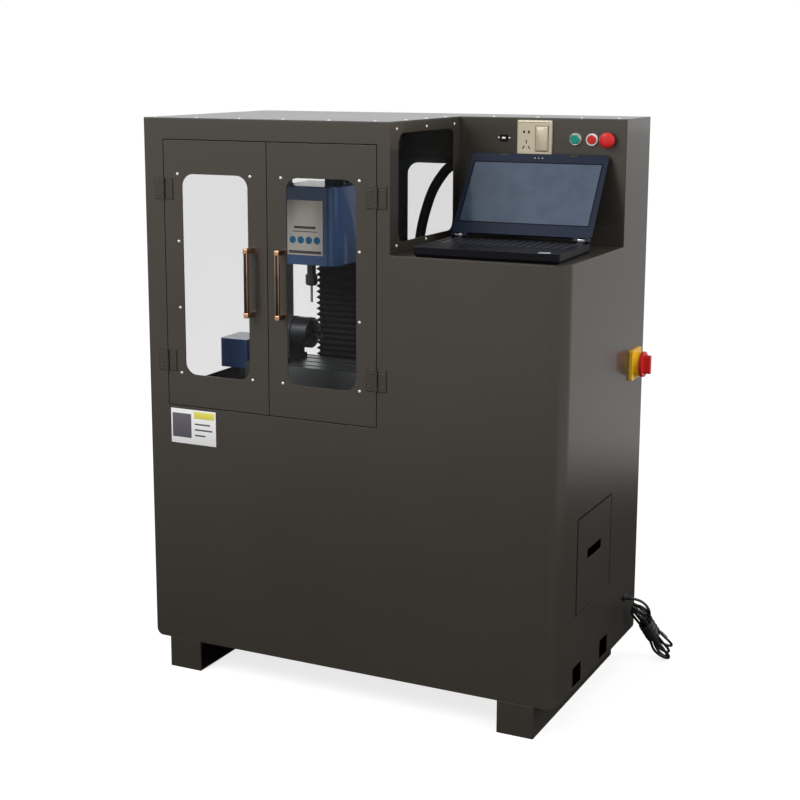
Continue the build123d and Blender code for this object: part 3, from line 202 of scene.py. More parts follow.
def cloudy_tone():
    """Tone that drifts in soft patches: where the colour is lighter, the gloss is duller."""
    tree, given, out = group_with(
        "cloudy_tone",
        [
            ("Vector", VECTOR, None),
            ("Colour", COLOUR, (0.5, 0.5, 0.5, 1)),
            ("Roughness", VALUE, 0.5),
            ("Scale", VALUE, 4.0),
            ("Amount", VALUE, 0.15),
        ],
        [("Colour", COLOUR), ("Roughness", VALUE)],
    )
    cloud = noise_value(tree, given.outputs["Vector"], given.outputs["Scale"], 5.0)
    centred = math_node(tree, "SUBTRACT", cloud, 0.5)
    swing = math_node(tree, "MULTIPLY", centred, given.outputs["Amount"])
    bright = math_node(tree, "MULTIPLY_ADD", swing, 2.0, 1.0)
    tint = vector_node(tree, "SCALE", given.outputs["Colour"], None, None, bright)
    tree.links.new(tint.outputs[0], out.inputs["Colour"])
    gloss = math_node(tree, "ADD", given.outputs["Roughness"], swing, clamp=True)
    tree.links.new(gloss, out.inputs["Roughness"])
    return tree


def sprayed_skin():
    """The height of a sprayed or moulded skin: small round swells at one scale."""
    tree, given, out = group_with(
        "sprayed_skin", [("Vector", VECTOR, None), ("Scale", VALUE, 400.0)], [("Height", VALUE)]
    )
    swell = noise_value(tree, given.outputs["Vector"], given.outputs["Scale"], 2.0)
    tree.links.new(swell, out.inputs["Height"])
    return tree


def ground_lines():
    """The height of fine parallel lines, made by stretching a noise along one direction."""
    tree, given, out = group_with(
        "ground_lines",
        [("Vector", VECTOR, None), ("Stretch", VECTOR, (1.0, 40.0, 40.0)), ("Scale", VALUE, 30.0)],
        [("Height", VALUE)],
    )
    pulled = vector_node(tree, "MULTIPLY", given.outputs["Vector"], given.outputs["Stretch"])
    lines = noise_value(tree, pulled.outputs[0], given.outputs["Scale"], 3.0)
    tree.links.new(lines, out.inputs["Height"])
    return tree


TONE = cloudy_tone()
SKIN = sprayed_skin()
LINES = ground_lines()
print("groups", TONE.name, SKIN.name, LINES.name)

# %% [markdown]
# Every finish of the machine follows one recipe: a colour that drifts a little, a gloss that drifts
# with it, and a fine relief. The recipe takes the relief group as an argument, so paint, plastic
# and ground steel come from the same few lines, and what is the same all over a surface, such as a
# coat, is set straight on the shader. Folded sheet is never sharp at its edges, and a line of light
# runs along each fold, so a finish can also round the edges that the light sees, by a radius in
# millimetres.
# %% The recipe for a finish
SPECULAR_LEVEL = 0.31
EDGE_SAMPLES = 4


def finish(name, colour, roughness, metallic=0.0, relief=SKIN, scale=400.0, depth=0.02, **more):
    """A Principled material with drifting tone and a fine relief, depth millimetres high."""
    material = bpy.data.materials.new(name)
    material.use_nodes = True
    tree = material.node_tree
    shader = tree.nodes["Principled BSDF"]
    shader.inputs["Metallic"].default_value = metallic
    shader.inputs["Specular IOR Level"].default_value = SPECULAR_LEVEL
    where = tree.nodes.new("ShaderNodeTexCoord")
    tone = tree.nodes.new("ShaderNodeGroup")
    tone.node_tree = TONE
    tone.inputs["Colour"].default_value = (*colour, 1.0)
    tone.inputs["Roughness"].default_value = roughness
    tone.inputs["Scale"].default_value = more.pop("tone_scale", 5.0)
    tone.inputs["Amount"].default_value = more.pop("tone", 0.12)
    height = tree.nodes.new("ShaderNodeGroup")
    height.node_tree = relief
    height.inputs["Scale"].default_value = scale
    if "stretch" in more:
        height.inputs["Stretch"].default_value = more.pop("stretch")
    bump = tree.nodes.new("ShaderNodeBump")
    bump.inputs["Distance"].default_value = depth * MM
    tree.links.new(where.outputs["Object"], tone.inputs["Vector"])
    tree.links.new(where.outputs["Object"], height.inputs["Vector"])
    tree.links.new(tone.outputs["Colour"], shader.inputs["Base Color"])
    tree.links.new(tone.outputs["Roughness"], shader.inputs["Roughness"])
    tree.links.new(height.outputs["Height"], bump.inputs["Height"])
    if "edge" in more:
        rounded = tree.nodes.new("ShaderNodeBevel")
        rounded.samples = EDGE_SAMPLES
        rounded.inputs["Radius"].default_value = more.pop("edge") * MM
        tree.links.new(rounded.outputs["Normal"], bump.inputs["Normal"])
    tree.links.new(bump.outputs["Normal"], shader.inputs["Normal"])
    for socket, value in more.items():
        shader.inputs[socket.replace("_", " ").title().replace("Ior", "IOR")].default_value = value
    return material


def count_finishes(kind):
    print(kind, "made, materials so far", len(bpy.data.materials))


print("the recipe rounds edges with", EDGE_SAMPLES, "samples")

# %% [markdown]
# The cabinet has a bronze-grey metallic paint with a soft gloss. It is nearly half metal in the
# shader, because such a paint holds metal flakes: it mirrors the bright room softly and keeps a
# warm tint. A clear coat lies over it, so at a slant the side also mirrors the switch and the cord
# more sharply. The mill's castings are dark and matt, and its two covers are sprayed deep blue.
# %% Paints
CABINET_PAINT = finish(
    "bronze_grey_paint",
    (0.0652, 0.0572, 0.0464),
    0.3,
    metallic=0.43,
    scale=900.0,
    depth=0.012,
    tone=0.1,
    tone_scale=2.5,
    edge=1.6,
    coat_weight=0.25,
    coat_roughness=0.06,
)
ROOF_PAINT = finish(
    "roof_paint", (0.13, 0.133, 0.136), 0.3, metallic=0.48, scale=900.0, tone=0.08, edge=1.6
)
CASTING_PAINT = finish(
    "casting_paint", (0.035, 0.036, 0.04), 0.4, scale=250.0, depth=0.15, tone=0.2
)
BLUE_PAINT = finish(
    "blue_paint", (0.052, 0.112, 0.27), 0.24, scale=500.0, depth=0.05, coat_weight=0.62, edge=1.5
)
MOTOR_PAINT = finish("motor_paint", (0.015, 0.015, 0.017), 0.4, scale=300.0, depth=0.05)
count_finishes("paints")

# %% [markdown]
# Machined faces shine in a direction, since the grinding wheel or the lathe tool left lines. The
# lines run along X on the table, and round the axis on screws, which at this size reads as lines
# across the rod.
# %% Metals
TURNED = {"relief": LINES, "scale": 60.0}
TABLE_STEEL = finish(
    "ground_iron", (0.329, 0.339, 0.349), 0.33, 0.85, LINES, 30.0, stretch=(1, 40, 40)
)
BRIGHT_STEEL = finish(
    "bright_steel", (0.341, 0.341, 0.347), 0.25, 1.0, stretch=(40, 1, 40), **TURNED
)
DARK_STEEL = finish("blackened_steel", (0.0835, 0.0835, 0.087), 0.3, 0.71, **TURNED)
CHUCK_STEEL = finish("chuck_steel", (0.0404, 0.0418, 0.0455), 0.34, 0.59, edge=0.8, **TURNED)
ROSE_BRASS = finish(
    "rose_brass", (0.72, 0.42, 0.27), 0.16, 1.0, depth=0.004, stretch=(40, 40, 1), **TURNED
)
HINGE_BRONZE = finish(
    "hinge_bronze", (0.0734, 0.0661, 0.0551), 0.24, 0.59, scale=600.0, depth=0.03, edge=0.8
)
SCREW_WHITE = finish("nickel_screw", (0.689, 0.68, 0.664), 0.25, 0.38, scale=800.0, depth=0.01)
count_finishes("metals")

# %% [markdown]
# Plastics are hardly metallic. Their gloss is even, and what tells them apart is the grain: almost
# none on the socket and the buttons, a fine one on the laptop's case, and a dull skin on rubber.
# %% Plastics and rubber
MOULDED = {"scale": 300.0, "depth": 0.01, "tone": 0.06}
GRAINED = {"scale": 1500.0, "depth": 0.03}
CHAMPAGNE = finish(
    "champagne_plastic", (0.597, 0.525, 0.389), 0.22, 0.17, SKIN, 300.0, 0.005, tone=0.04, edge=1.2
)
WHITE_PLASTIC = finish(
    "white_plastic", (0.78, 0.76, 0.72), 0.3, scale=300.0, depth=0.005, tone=0.05
)
YELLOW_PLASTIC = finish("yellow_plastic", (0.85, 0.5, 0.02), 0.3, **MOULDED)
RED_PLASTIC = finish("red_plastic", (0.62, 0.02, 0.02), 0.28, **MOULDED)
GREEN_PLASTIC = finish("green_plastic", (0.0, 0.27, 0.18), 0.28, **MOULDED)
LAPTOP_CASE = finish(
    "laptop_case", (0.008, 0.014, 0.032), 0.36, specular_ior_level=0.19, edge=0.8, **GRAINED
)
KEYBOARD_BLACK = finish(
    "keyboard_black", (0.004, 0.004, 0.006), 0.42, specular_ior_level=0.1, edge=0.6, **GRAINED
)
KEY_CAPS = finish("key_caps", (0.022, 0.024, 0.032), 0.3, scale=1500.0, depth=0.02, edge=0.4)
CORD_BLACK = finish(
    "cord_black", (0.014, 0.014, 0.016), 0.24, scale=700.0, depth=0.01, tone=0.15, coat_weight=0.5
)
RUBBER = finish("black_rubber", (0.012, 0.012, 0.012), 0.45, scale=700.0, depth=0.05, tone=0.2)
BELLOWS_CLOTH = finish(
    "bellows_cloth", (0.014, 0.014, 0.015), 0.55, scale=900.0, depth=0.1, tone=0.2
)
count_finishes("plastics")

# %% [markdown]
# Printed fields and inlays, and the painted shade in holes and round the socket's rocker, are so
# thin or so dark that they need hardly any relief. The laptop's screen is a glossy sheet over a dark
# panel. Fingers have left dull patches on it, so its tone and roughness follow a broad noise more
# strongly than elsewhere.
# %% Print, painted shade and the screen
PRINTED = {"scale": 900.0, "depth": 0.004}
PAPER_WHITE = finish("white_label", (0.86, 0.86, 0.85), 0.35, tone=0.03, **PRINTED)
PAPER_YELLOW = finish("yellow_field", (0.78, 0.7, 0.12), 0.35, tone=0.03, **PRINTED)
PAPER_GREY = finish("grey_field", (0.11, 0.1, 0.12), 0.4, tone=0.05, **PRINTED)
PAPER_BLUE = finish("blue_field", (0.02, 0.2, 0.42), 0.4, tone=0.05, **PRINTED)
SIGN_BEIGE = finish(
    "beige_sign", (0.878, 0.822, 0.73), 0.3, 0.13, SKIN, 900.0, 0.01, tone=0.08, tone_scale=18.0
)
SHADOW_BRASS = finish(
    "socket_shadow", (0.12, 0.095, 0.06), 0.5, scale=300.0, depth=0.004, tone=0.05
)
BLACK_GLOSS = finish(
    "black_inlay", (0.008, 0.008, 0.009), 0.12, scale=300.0, depth=0.004, tone=0.05
)
# Painted shade for the dark insides of holes and slits.
HOLE_SHADE = finish("painted_hole_shade", (0.006, 0.006, 0.006), 0.8, scale=300.0, depth=0.01)
SCREEN = finish(
    "laptop_screen",
    (0.05, 0.075, 0.115),
    0.16,
    scale=60.0,
    depth=0.002,
    tone=0.35,
    tone_scale=22.0,
    coat_weight=0.25,
)
count_finishes("prints and screen")

# %% [markdown]
# The windows are clear sheet. A true refracting glass would stop the lamps' light at the panes and
# leave the chamber black, since light bent by glass is hard to trace. A thin sheet hardly bends
# light anyway, so the pane is mostly see-through, with a faint grey and a gloss that grows at a
# slant. A pane has two faces, and only the one turned to the viewer counts, or it would darken
# twice.
# %% Clear sheet
LEAST_COVER = 0.13
SLANT_COVER = 0.6


def clear_sheet():
    """A see-through material that covers a little straight on and more at a slant."""
    material = bpy.data.materials.new("clear_sheet")
    material.use_nodes = True
    tree = material.node_tree
    shader = tree.nodes["Principled BSDF"]
    shader.inputs["Base Color"].default_value = (0.02, 0.022, 0.024, 1)
    shader.inputs["Roughness"].default_value = 0.03
    shader.inputs["Specular IOR Level"].default_value = 0.62
    slant = tree.nodes.new("ShaderNodeFresnel")
    slant.inputs["IOR"].default_value = 1.5
    side = tree.nodes.new("ShaderNodeNewGeometry")
    cover = math_node(
        tree, "MULTIPLY_ADD", slant.outputs[0], SLANT_COVER, LEAST_COVER, clamp=True
    )
    front = math_node(tree, "SUBTRACT", 1.0, side.outputs["Backfacing"])
    tree.links.new(math_node(tree, "MULTIPLY", cover, front), shader.inputs["Alpha"])
    return material


CLEAR_SHEET = clear_sheet()
count_finishes("clear sheet")

# %% [markdown]
# Each node of the frame now gets its finish. A table of finish to nodes keeps this readable, and a
# check below shows that none was forgotten.
# %% Finishes on the frame's nodes
FINISHES = [
    (CABINET_PAINT, """front_panel left_side_panel right_side_panel floor_pan rear_panel
     chamber_partition laptop_shelf control_panel runners left_door_panel right_door_panel
     access_cover mill_stand"""),
    (ROOF_PAINT, "roof_plate"),
    (CASTING_PAINT, "base_casting column saddle head_casting rotary_housing chip_tray"),
    (BLUE_PAINT, "head_cover x_motor_cover"),
    (MOTOR_PAINT, "y_motor z_motor spindle_motor"),
    (TABLE_STEEL, "table"),
    (BRIGHT_STEEL, "x_screw y_screw z_screw end_mill"),
    (DARK_STEEL, "spindle"),
    (CHUCK_STEEL, "chuck_body chuck_jaw_1 chuck_jaw_2 chuck_jaw_3"),
    (HINGE_BRONZE, "left_door_hinge_leaves right_door_hinge_leaves hinge_frame_leaves"),
    (ROSE_BRASS, "left_door_handle right_door_handle"),
    (CHAMPAGNE, "socket_plate socket_rocker"),
    (WHITE_PLASTIC, "button_bezels"),
    (YELLOW_PLASTIC, "isolator_base"),
    (RED_PLASTIC, "isolator_knob red_button stop_button"),
    (GREEN_PLASTIC, "green_button"),
    (LAPTOP_CASE, "laptop_lid"),
    (KEYBOARD_BLACK, "laptop_base data_port"),
    (RUBBER, "wiring_conduit cord_gland mains_cord cord_hank"),
    (BELLOWS_CLOTH, "z_bellows"),
    (SCREEN, "laptop_screen"),
    (CLEAR_SHEET, "cabinet_panes left_door_pane right_door_pane"),
]
dressed = set()
for material, names in FINISHES:
    for name in names.split():
        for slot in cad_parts[name].material_slots:
            slot.material = material
        dressed.add(name)
print("nodes without a finish", sorted(set(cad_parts) - dressed))

# %% [markdown]
# The mains lead leaves a gland low on the right side, drops, and is tied up in a hank whose lower
# end leans on the floor. It is one NURBS curve, and its control points come first: the free run,
# then four long turns, then seven wraps round the waist that tie them, with the cut end tucked out
# at the side. Working in the hank's own directions, along, across and deep, keeps the turns a
# cord's width apart.
# %% Route of the mains lead
gland_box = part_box("cord_gland")
SIDE_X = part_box("right_side_panel")[1][0]
GLAND_Y = (gland_box[0][1] + gland_box[1][1]) / 2
GLAND_Z = (gland_box[0][2] + gland_box[1][2]) / 2
cord_exit = Vector((gland_box[1][0], GLAND_Y, GLAND_Z))
FREE_RUN = [(42, 1, -1), (59, 6, -14), (66, 14, -34), (60, 26, -56)]
route = [cord_exit]
route += [Vector((SIDE_X + x * MM, GLAND_Y + y * MM, GLAND_Z + z * MM)) for x, y, z in FREE_RUN]
hank_top = Vector((SIDE_X + 31 * MM, GLAND_Y + 2 * MM, 178 * MM))
hank_low = Vector((SIDE_X + 78 * MM, GLAND_Y + 140 * MM, 4.8 * MM))
along = hank_low - hank_top
across = along.cross(Vector((0, 0, 1))).normalized()
deep = across.cross(along.normalized())
if deep.z < 0:
    deep.negate()
HALF_TURN = [(-1.0, 0.0), (-0.93, 0.72), (-0.74, 1.0), (-0.42, 0.66)]
HALF_TURN += [(0.0, 0.38), (0.42, 0.62), (0.74, 1.0), (0.93, 0.72)]
TURN_WIDTHS = mm(22, 18, 20, 23)
LOOPS = [mm(24, 3), mm(15, -3), mm(20, 0), mm(25, 12)]
TURN_TOPS = [0.05, 0.0, 0.09, 0.03]
TURN_LOWS = [0.965, 0.985, 0.935, 0.825]
TURNS = 4
LAYER, FLOOR_GAP = mm(6.9, 4.6)


def on_hank(share, side, depth):
    """A place on the hank: a share of its length, and metres across and deep."""
    return hank_top + along * share + across * side + deep * depth


def hank_turn(index):
    """The control points of one long turn, down one side and up the other."""
    points = []
    path = HALF_TURN + [(-u, -v) for u, v in HALF_TURN]
    for step, (u, v) in enumerate(path):
        depth = (index + step / len(path) - TURNS / 2) * LAYER
        lowest = (hank_top.z - FLOOR_GAP + depth * deep.z) / -along.z
        start = TURN_TOPS[index]
        end = min(lowest, TURN_LOWS[index])
        share = start + (end - start) * (u + 1) / 2
        width, aside = (TURN_WIDTHS[index], 0.0) if u < 0 else LOOPS[index]
        points.append(on_hank(share, v * width + aside * max(u, 0.0), depth))
    return points


for index in range(TURNS):
    route += hank_turn(index)
WRAPS = 7
WRAP_STEPS = 12
WRAP_SHARES = (0.31, 0.58)
WRAP_ACROSS, WRAP_DEEP = mm(15.2, 18.5)
WRAP_SWELL = 0.05
CUT_END = [(0.03, 16, 16), (0.08, 26, 12)]
for step in range(WRAPS * WRAP_STEPS + 1):
    turn = step / WRAP_STEPS
    share = WRAP_SHARES[0] + (WRAP_SHARES[1] - WRAP_SHARES[0]) * turn / WRAPS
    swell = 1.0 + WRAP_SWELL * math.cos(math.pi * turn)
    side = WRAP_ACROSS * swell * math.sin(math.tau * turn)
    route.append(on_hank(share, side, WRAP_DEEP * swell * math.cos(math.tau * turn)))
route += [on_hank(WRAP_SHARES[1] + further, *mm(side, depth)) for further, side, depth in CUT_END]
print("route points", len(route))

# %% [markdown]
# The curve is measured bare, before its round section is set, since its edges then add up to the
# cord's true length. A curve is lighter than a mesh of tubes and can still be moved point by point.
# It takes the place of the frame's two plain solids for the lead.
# %% Mains lead
CORD_RADIUS = 3.4 * MM
cord_curve = bpy.data.curves.new("mains_lead", "CURVE")
cord_curve.dimensions = "3D"
cord_curve.resolution_u = 6
spline = cord_curve.splines.new("NURBS")
spline.points.add(len(route) - 1)
for point, place in zip(spline.points, route):
    point.co = (*place, 1.0)
spline.order_u = 3
spline.use_endpoint_u = True
cord = bpy.data.objects.new("mains_lead", cord_curve)
bpy.context.collection.objects.link(cord)
bare_line = bpy.data.meshes.new_from_object(cord)
edge_ends = [[bare_line.vertices[end].co for end in edge.vertices] for edge in bare_line.edges]
cord_length = sum((one - other).length for one, other in edge_ends)
cord_curve.bevel_depth = CORD_RADIUS
cord_curve.bevel_resolution = 3
cord_curve.use_fill_caps = True
cord_curve.materials.append(CORD_BLACK)
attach(cord, "cabinet")
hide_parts("mains_cord", "cord_hank")
print("mains lead", round(cord_length, 3), "m")

# %% [markdown]
# The panels are held by small domed screws. Each dome comes from spinning a short profile round its
# axis, and it is then turned to the face that it stands on. All screws of one row share a mesh, so
# that a whole row is one light piece.
# %% Screw heads
SCREW_RADIUS, SMALL_RADIUS = mm(3.8, 2.6)
SCREW_RISE, FLAT_RISE = mm(2.3, 1.0)
SCREW_PROFILE = [(0.0, 1.0), (0.45, 0.93), (0.8, 0.62), (0.97, 0.25), (1.0, 0.0)]
SCREW_STEPS = 16
FORWARD = (0, -1, 0)


def spin_profile(bm, profile, axis, steps):
    """Spins a row of points a full turn about an axis through the origin."""
    verts = [bm.verts.new(point) for point in profile]
    edges = [bm.edges.new(pair) for pair in zip(verts, verts[1:])]
    bmesh.ops.spin(
        bm,
        geom=verts + edges,
        cent=(0, 0, 0),
        axis=axis,
        angle=math.tau,
        steps=steps,
        use_merge=True,
    )


def add_screw(bm, place, normal, radius, rise):
    """Adds one domed screw head, standing on a face at place and pointing along normal."""
    before = set(bm.verts)
    profile = [(radius * r, 0, rise * h) for r, h in SCREW_PROFILE]
    spin_profile(bm, profile, (0, 0, 1), SCREW_STEPS)
    added = [vert for vert in bm.verts if vert not in before]
    poles = [vert for vert in added if vert.co.xy.length < 0.01 * radius]
    bmesh.ops.remove_doubles(bm, verts=poles, dist=0.05 * MM)
    added = [vert for vert in added if vert.is_valid]
    turn = Vector((0, 0, 1)).rotation_difference(Vector(normal)).to_matrix().to_4x4()
    bmesh.ops.transform(bm, matrix=Matrix.Translation(place) @ turn, verts=added)


def screws(name, body, places, normal, radius=SCREW_RADIUS, rise=SCREW_RISE, material=SCREW_WHITE):
    """A row of screws on one body as one piece."""
    bm = bmesh.new()
    for place in places:
        add_screw(bm, place, normal, radius, rise)
    piece(name, bm, material, body)
    print(name, len(places), "screws")


# %% [markdown]
# The panes are screwed to the doors and the walls from outside, four screws on one side of a door's
# pane and two on the other, as the photograph shows. The roof plate has a row along each edge.
# %% Screws of panes and roof
LEFT_X, FRONT_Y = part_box("front_panel")[0][:2]
LEFT_DOOR_X = (-464, -264)
RIGHT_DOOR_X = (-182, 20)
FOUR = (1241, 1081, 921, 761)
TWO = (1241, 761)


def door_screws(door, *rows):
    places = [(x * MM, FRONT_Y, z * MM) for x, levels in rows for z in levels]
    screws(door + "_screws", door, places, FORWARD)


door_screws("left_door", (LEFT_DOOR_X[0], FOUR), (LEFT_DOOR_X[1], TWO))
door_screws("right_door", (RIGHT_DOOR_X[0], TWO), (RIGHT_DOOR_X[1], FOUR))
partition_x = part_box("chamber_partition")[1][0]
recess_places = [(partition_x, y * MM, z * MM) for y in (-234, -75, 84) for z in (1356, 1096)]
screws("recess_screws", "cabinet", recess_places, (1, 0, 0))
left_places = [(LEFT_X, y * MM, z * MM) for y in (-203, 16, 235) for z in (691, 1255)]
left_places += [(LEFT_X, y * MM, 973 * MM) for y in (-203, 235)]
screws("left_pane_screws", "cabinet", left_places, (-1, 0, 0), rise=FLAT_RISE)
rear_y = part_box("rear_panel")[1][1]
REAR_X = (-482, -323, -137, 22)
rear_places = [(x * MM, rear_y, z * MM) for x in REAR_X for z in (705, 889, 1072, 1255)]
screws("rear_pane_screws", "cabinet", rear_places, (0, 1, 0))

roof_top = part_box("roof_plate")[1][2]
roof_places = [(x, -256) for x in (-530, -414, -297, -180, -63, 54)]
roof_places += [(-544, y) for y in (-150, -30, 90, 210)]
roof_places += [(84, y) for y in (-160, -50, 60)]
roof_places += [(x, 130) for x in (180, 290, 400, 490)]
roof_places += [(x, 288) for x in range(-530, 520, 175)]
screws("roof_screws", "cabinet", [(x * MM, y * MM, roof_top) for x, y in roof_places], (0, 0, 1))

# %% [markdown]
# Each door turns on two butt hinges. Their leaves are painted nearly like the cabinet, so what shows
# them is a dark outline and four small flat screws. The outline is painted shadow: a thin black pad
# that stands out a little under the leaf.
# %% Hinge screws and painted shadow pads
HINGE_X = {"left_door": -503.0, "right_door": 63.0}
HINGE_Z = (790.0, 1206.0)
LEAF_Y = FRONT_Y - 2 * MM
LEAF_SCREW_X, LEAF_SCREW_Z = 16, 15
PAD_FROM, PAD_TO, PAD_TALL = 6.0, 26.6, 26.4


def hinge_screws(name, body, sides):
    """Four small screws for each leaf, on the side of the hinge pin that its sign tells."""
    places = []
    for side, hinge_x in sides:
        x = (hinge_x + side * LEAF_SCREW_X) * MM
        levels = [z + up for z in HINGE_Z for up in (-LEAF_SCREW_Z, LEAF_SCREW_Z)]
        places += [(x, LEAF_Y, z * MM) for z in levels]
    screws(name, body, places, FORWARD, SMALL_RADIUS, FLAT_RISE, HINGE_BRONZE)


def hinge_shadow_pads(name, body, sides):
    """Thin black pads of painted shadow that show as an outline round each hinge leaf."""
    bm = bmesh.new()
    for side, hinge_x in sides:
        for z in HINGE_Z:
            inner, outer = hinge_x + side * PAD_FROM, hinge_x + side * PAD_TO
            low = (min(inner, outer) * MM, FRONT_Y - 0.5 * MM, (z - PAD_TALL) * MM)
            high = (max(inner, outer) * MM, FRONT_Y, (z + PAD_TALL) * MM)
            add_block(bm, low, high, 0.1 * MM)
    piece(name, bm, RUBBER, body)


LEAVES = [
    ("left_door", "left_door", [(1, HINGE_X["left_door"])]),
    ("right_door", "right_door", [(-1, HINGE_X["right_door"])]),
    ("frame", "cabinet", [(-1, HINGE_X["left_door"]), (1, HINGE_X["right_door"])]),
]
for label, body, sides in LEAVES:
    hinge_screws(label + "_hinge_screws", body, sides)
# Black pads round each hinge leaf: painted shadow of the leaf's edge.
for label, body, sides in LEAVES:
    hinge_shadow_pads(label + "_hinge_shadow_pads", body, sides)

# %% [markdown]
# A black foam seal runs round the door opening, behind the doors' folded edges, so that no light
# comes through the gaps. Behind the blue cover, the bracket of the table's motor has dark casting
# paint. A thin black frame round the lift-off cover on the right side is painted shadow of the gap
# round it, and it draws the cover's outline on the panel, broader at its front edge.
# %% Seals, bracket and the cover's painted gap shadow
OPENING_X = (-504, 64)
OPENING_Z = (678, 1323)
SEAL_Y = (-252.6, -250.6)
SEAL_OUT, SEAL_IN, SEAL_HALF = 20, 7, 6
seal_bars = [
    (OPENING_X[0] - SEAL_OUT, OPENING_X[0] + SEAL_IN, *OPENING_Z),
    (OPENING_X[1] - SEAL_IN, OPENING_X[1] + SEAL_OUT, *OPENING_Z),
]
seal_bars += [(OPENING_X[0] + SEAL_IN, OPENING_X[1] - SEAL_IN, z, z) for z in OPENING_Z]
bm = bmesh.new()
for left, right, low, high in seal_bars:
    corners = mm(left, SEAL_Y[0], low - SEAL_HALF), mm(right, SEAL_Y[1], high + SEAL_HALF)
    add_block(bm, *corners, 0.4 * MM)
piece("door_seal", bm, RUBBER, "cabinet")
block_piece(
    "motor_bracket_skin",
    mm(-430.4, -55.4, 696.9),
    mm(-396.2, 1.4, 741.9),
    CASTING_PAINT,
    "table",
    bevel=0.3 * MM,
)
cover_low, cover_high = (Vector(corner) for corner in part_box("access_cover"))
GAP_SHADE_WIDE, FRONT_GAP_SHADE, GAP_SHADE_RISE = mm(3.0, 5.5, 0.3)
INSIDE, OUTSIDE = cover_high.x - MM, cover_high.x + GAP_SHADE_RISE
# A thin black frame round the cover: painted shadow of its gap, broader at the front.
bm = bmesh.new()
for y, wide in ((cover_low.y, FRONT_GAP_SHADE), (cover_high.y - GAP_SHADE_WIDE, GAP_SHADE_WIDE)):
    add_block(bm, (INSIDE, y, cover_low.z), (OUTSIDE, y + wide, cover_high.z))
for z in (cover_low.z, cover_high.z - GAP_SHADE_WIDE):
    ends = cover_low.y + FRONT_GAP_SHADE, cover_high.y - GAP_SHADE_WIDE
    add_block(bm, (INSIDE, ends[0], z), (OUTSIDE, ends[1], z + GAP_SHADE_WIDE))
piece("cover_gap_shadow", bm, BLACK_GLOSS, "access_cover")
print("seal bars", len(seal_bars), "gap_shade", round(GAP_SHADE_WIDE / MM, 1), "mm")

# %% [markdown]
# Two plates are kept bare. The one under the doors is a white label with a yellow field, a grey
# field and three grey bars. The one on the head is a beige sign with two dark bars, four blue discs
# and a dark foot. Each field is a very thin sheet on its plate.
# %% Plates
GREY_INK = (PAPER_GREY, "black_plastic")


def field(name, body, x, z, face_y, thick, material, slot="white_plastic"):
    """A thin upright sheet in front of face_y; all but face_y is given in millimetres."""
    low = (x[0] * MM, face_y - thick * MM, z[0] * MM)
    block_piece(name, low, (x[1] * MM, face_y, z[1] * MM), material, body, bevel=0.1 * MM)


field("front_label", "cabinet", (-498, -370), (585, 671), FRONT_Y, 0.4, PAPER_WHITE)
label_y = FRONT_Y - 0.4 * MM
YELLOW_INK = (PAPER_YELLOW, "yellow_plastic")
field("label_yellow", "cabinet", (-432, -374), (650, 667), label_y, 0.15, *YELLOW_INK)
field("label_picture", "cabinet", (-494, -440), (600, 660), label_y, 0.15, *GREY_INK)
for row, (width, z) in enumerate(((44, 636), (50, 622), (30, 608))):
    ends = (-430, -430 + width)
    field(f"label_bar_{row + 1}", "cabinet", ends, (z - 2, z + 2), label_y, 0.12, *GREY_INK)

HEAD_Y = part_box("head_cover")[0][1]
field("head_sign", "head", (-285, -187), (1037, 1171), HEAD_Y, 0.8, SIGN_BEIGE)
sign_y = HEAD_Y - 0.8 * MM
field("sign_foot", "head", (-281, -191), (1041, 1048), sign_y, 0.12, *GREY_INK)
field("sign_line_1", "head", (-266, -206), (1102, 1108), sign_y, 0.12, *GREY_INK)
field("sign_line_2", "head", (-270, -202), (1094, 1096), sign_y, 0.12, *GREY_INK)

DISC_RADIUS, DISC_THICK, DISC_Z = mm(9.0, 0.15, 1074)
DISC_X = (-270, -247.5, -225, -202.5)
bm = bmesh.new()
for x in DISC_X:
    place = Matrix.Translation((x * MM, sign_y - DISC_THICK / 2, DISC_Z))
    bmesh.ops.create_cone(
        bm,
        cap_ends=True,
        segments=32,
        radius1=DISC_RADIUS,
        radius2=DISC_RADIUS,
        depth=DISC_THICK,
        matrix=place @ Matrix.Rotation(math.pi / 2, 4, "X"),
    )
piece("sign_discs", bm, PAPER_BLUE, "head")
print("discs", len(DISC_X))

# %% [markdown]
# A door handle is a bar between two square blocks. The blocks are polished rose brass with soft
# edges, and the bar has a black inlay on its face, framed by a thin line of brass on either side.
# %% Door handles
BAR_DEEP, INLAY_IN = mm(9, 2.4)


def handle(node, body):
    """Brass blocks and bar in place of the frame's plain handle, and the inlay on them."""
    low, high = (Vector(corner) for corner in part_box(node))
    bm = bmesh.new()
    size = high.x - low.x
    for z in (low.z, high.z - size):
        add_block(bm, (low.x, low.y, z), (high.x, high.y, z + size), 1.2 * MM, 3)
    bar_low = (low.x + MM, low.y + MM, low.z + size / 2)
    add_block(bm, bar_low, (high.x - MM, low.y + BAR_DEEP, high.z - size / 2), 0.8 * MM)
    made = piece(node + "_metal", bm, ROSE_BRASS, body)
    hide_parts(node)
    block_piece(
        node + "_inlay",
        (low.x + INLAY_IN, low.y + 0.6 * MM, low.z + size),
        (high.x - INLAY_IN, low.y + 3 * MM, high.z - size),
        BLACK_GLOSS,
        body,
        bevel=0.3 * MM,
    )
    print(node, round((high.z - low.z) / MM), "mm tall")


handle("left_door_handle", "left_door")
handle("right_door_handle", "right_door")

# %% [markdown]
# The bellows behind the head are a folded cloth tube, flat at the back, with soft ridges. A ring of
# points runs round the front and sides at each level, and its distance from the back follows a
# rounded wave. The lower end stays on the machine and the upper end goes with the head, but the
# piece rides on no body and stays where it is made.
# %% Bellows
bellows_low, bellows_high = (Vector(corner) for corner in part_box("z_bellows"))
FOLDS = 22
STEPS_PER_FOLD = 8
FOLD_DEEP, CORNER_RADIUS = mm(7.0, 3.0)
FOLD_SHARPNESS = 1.4
CORNER_STEPS = 5


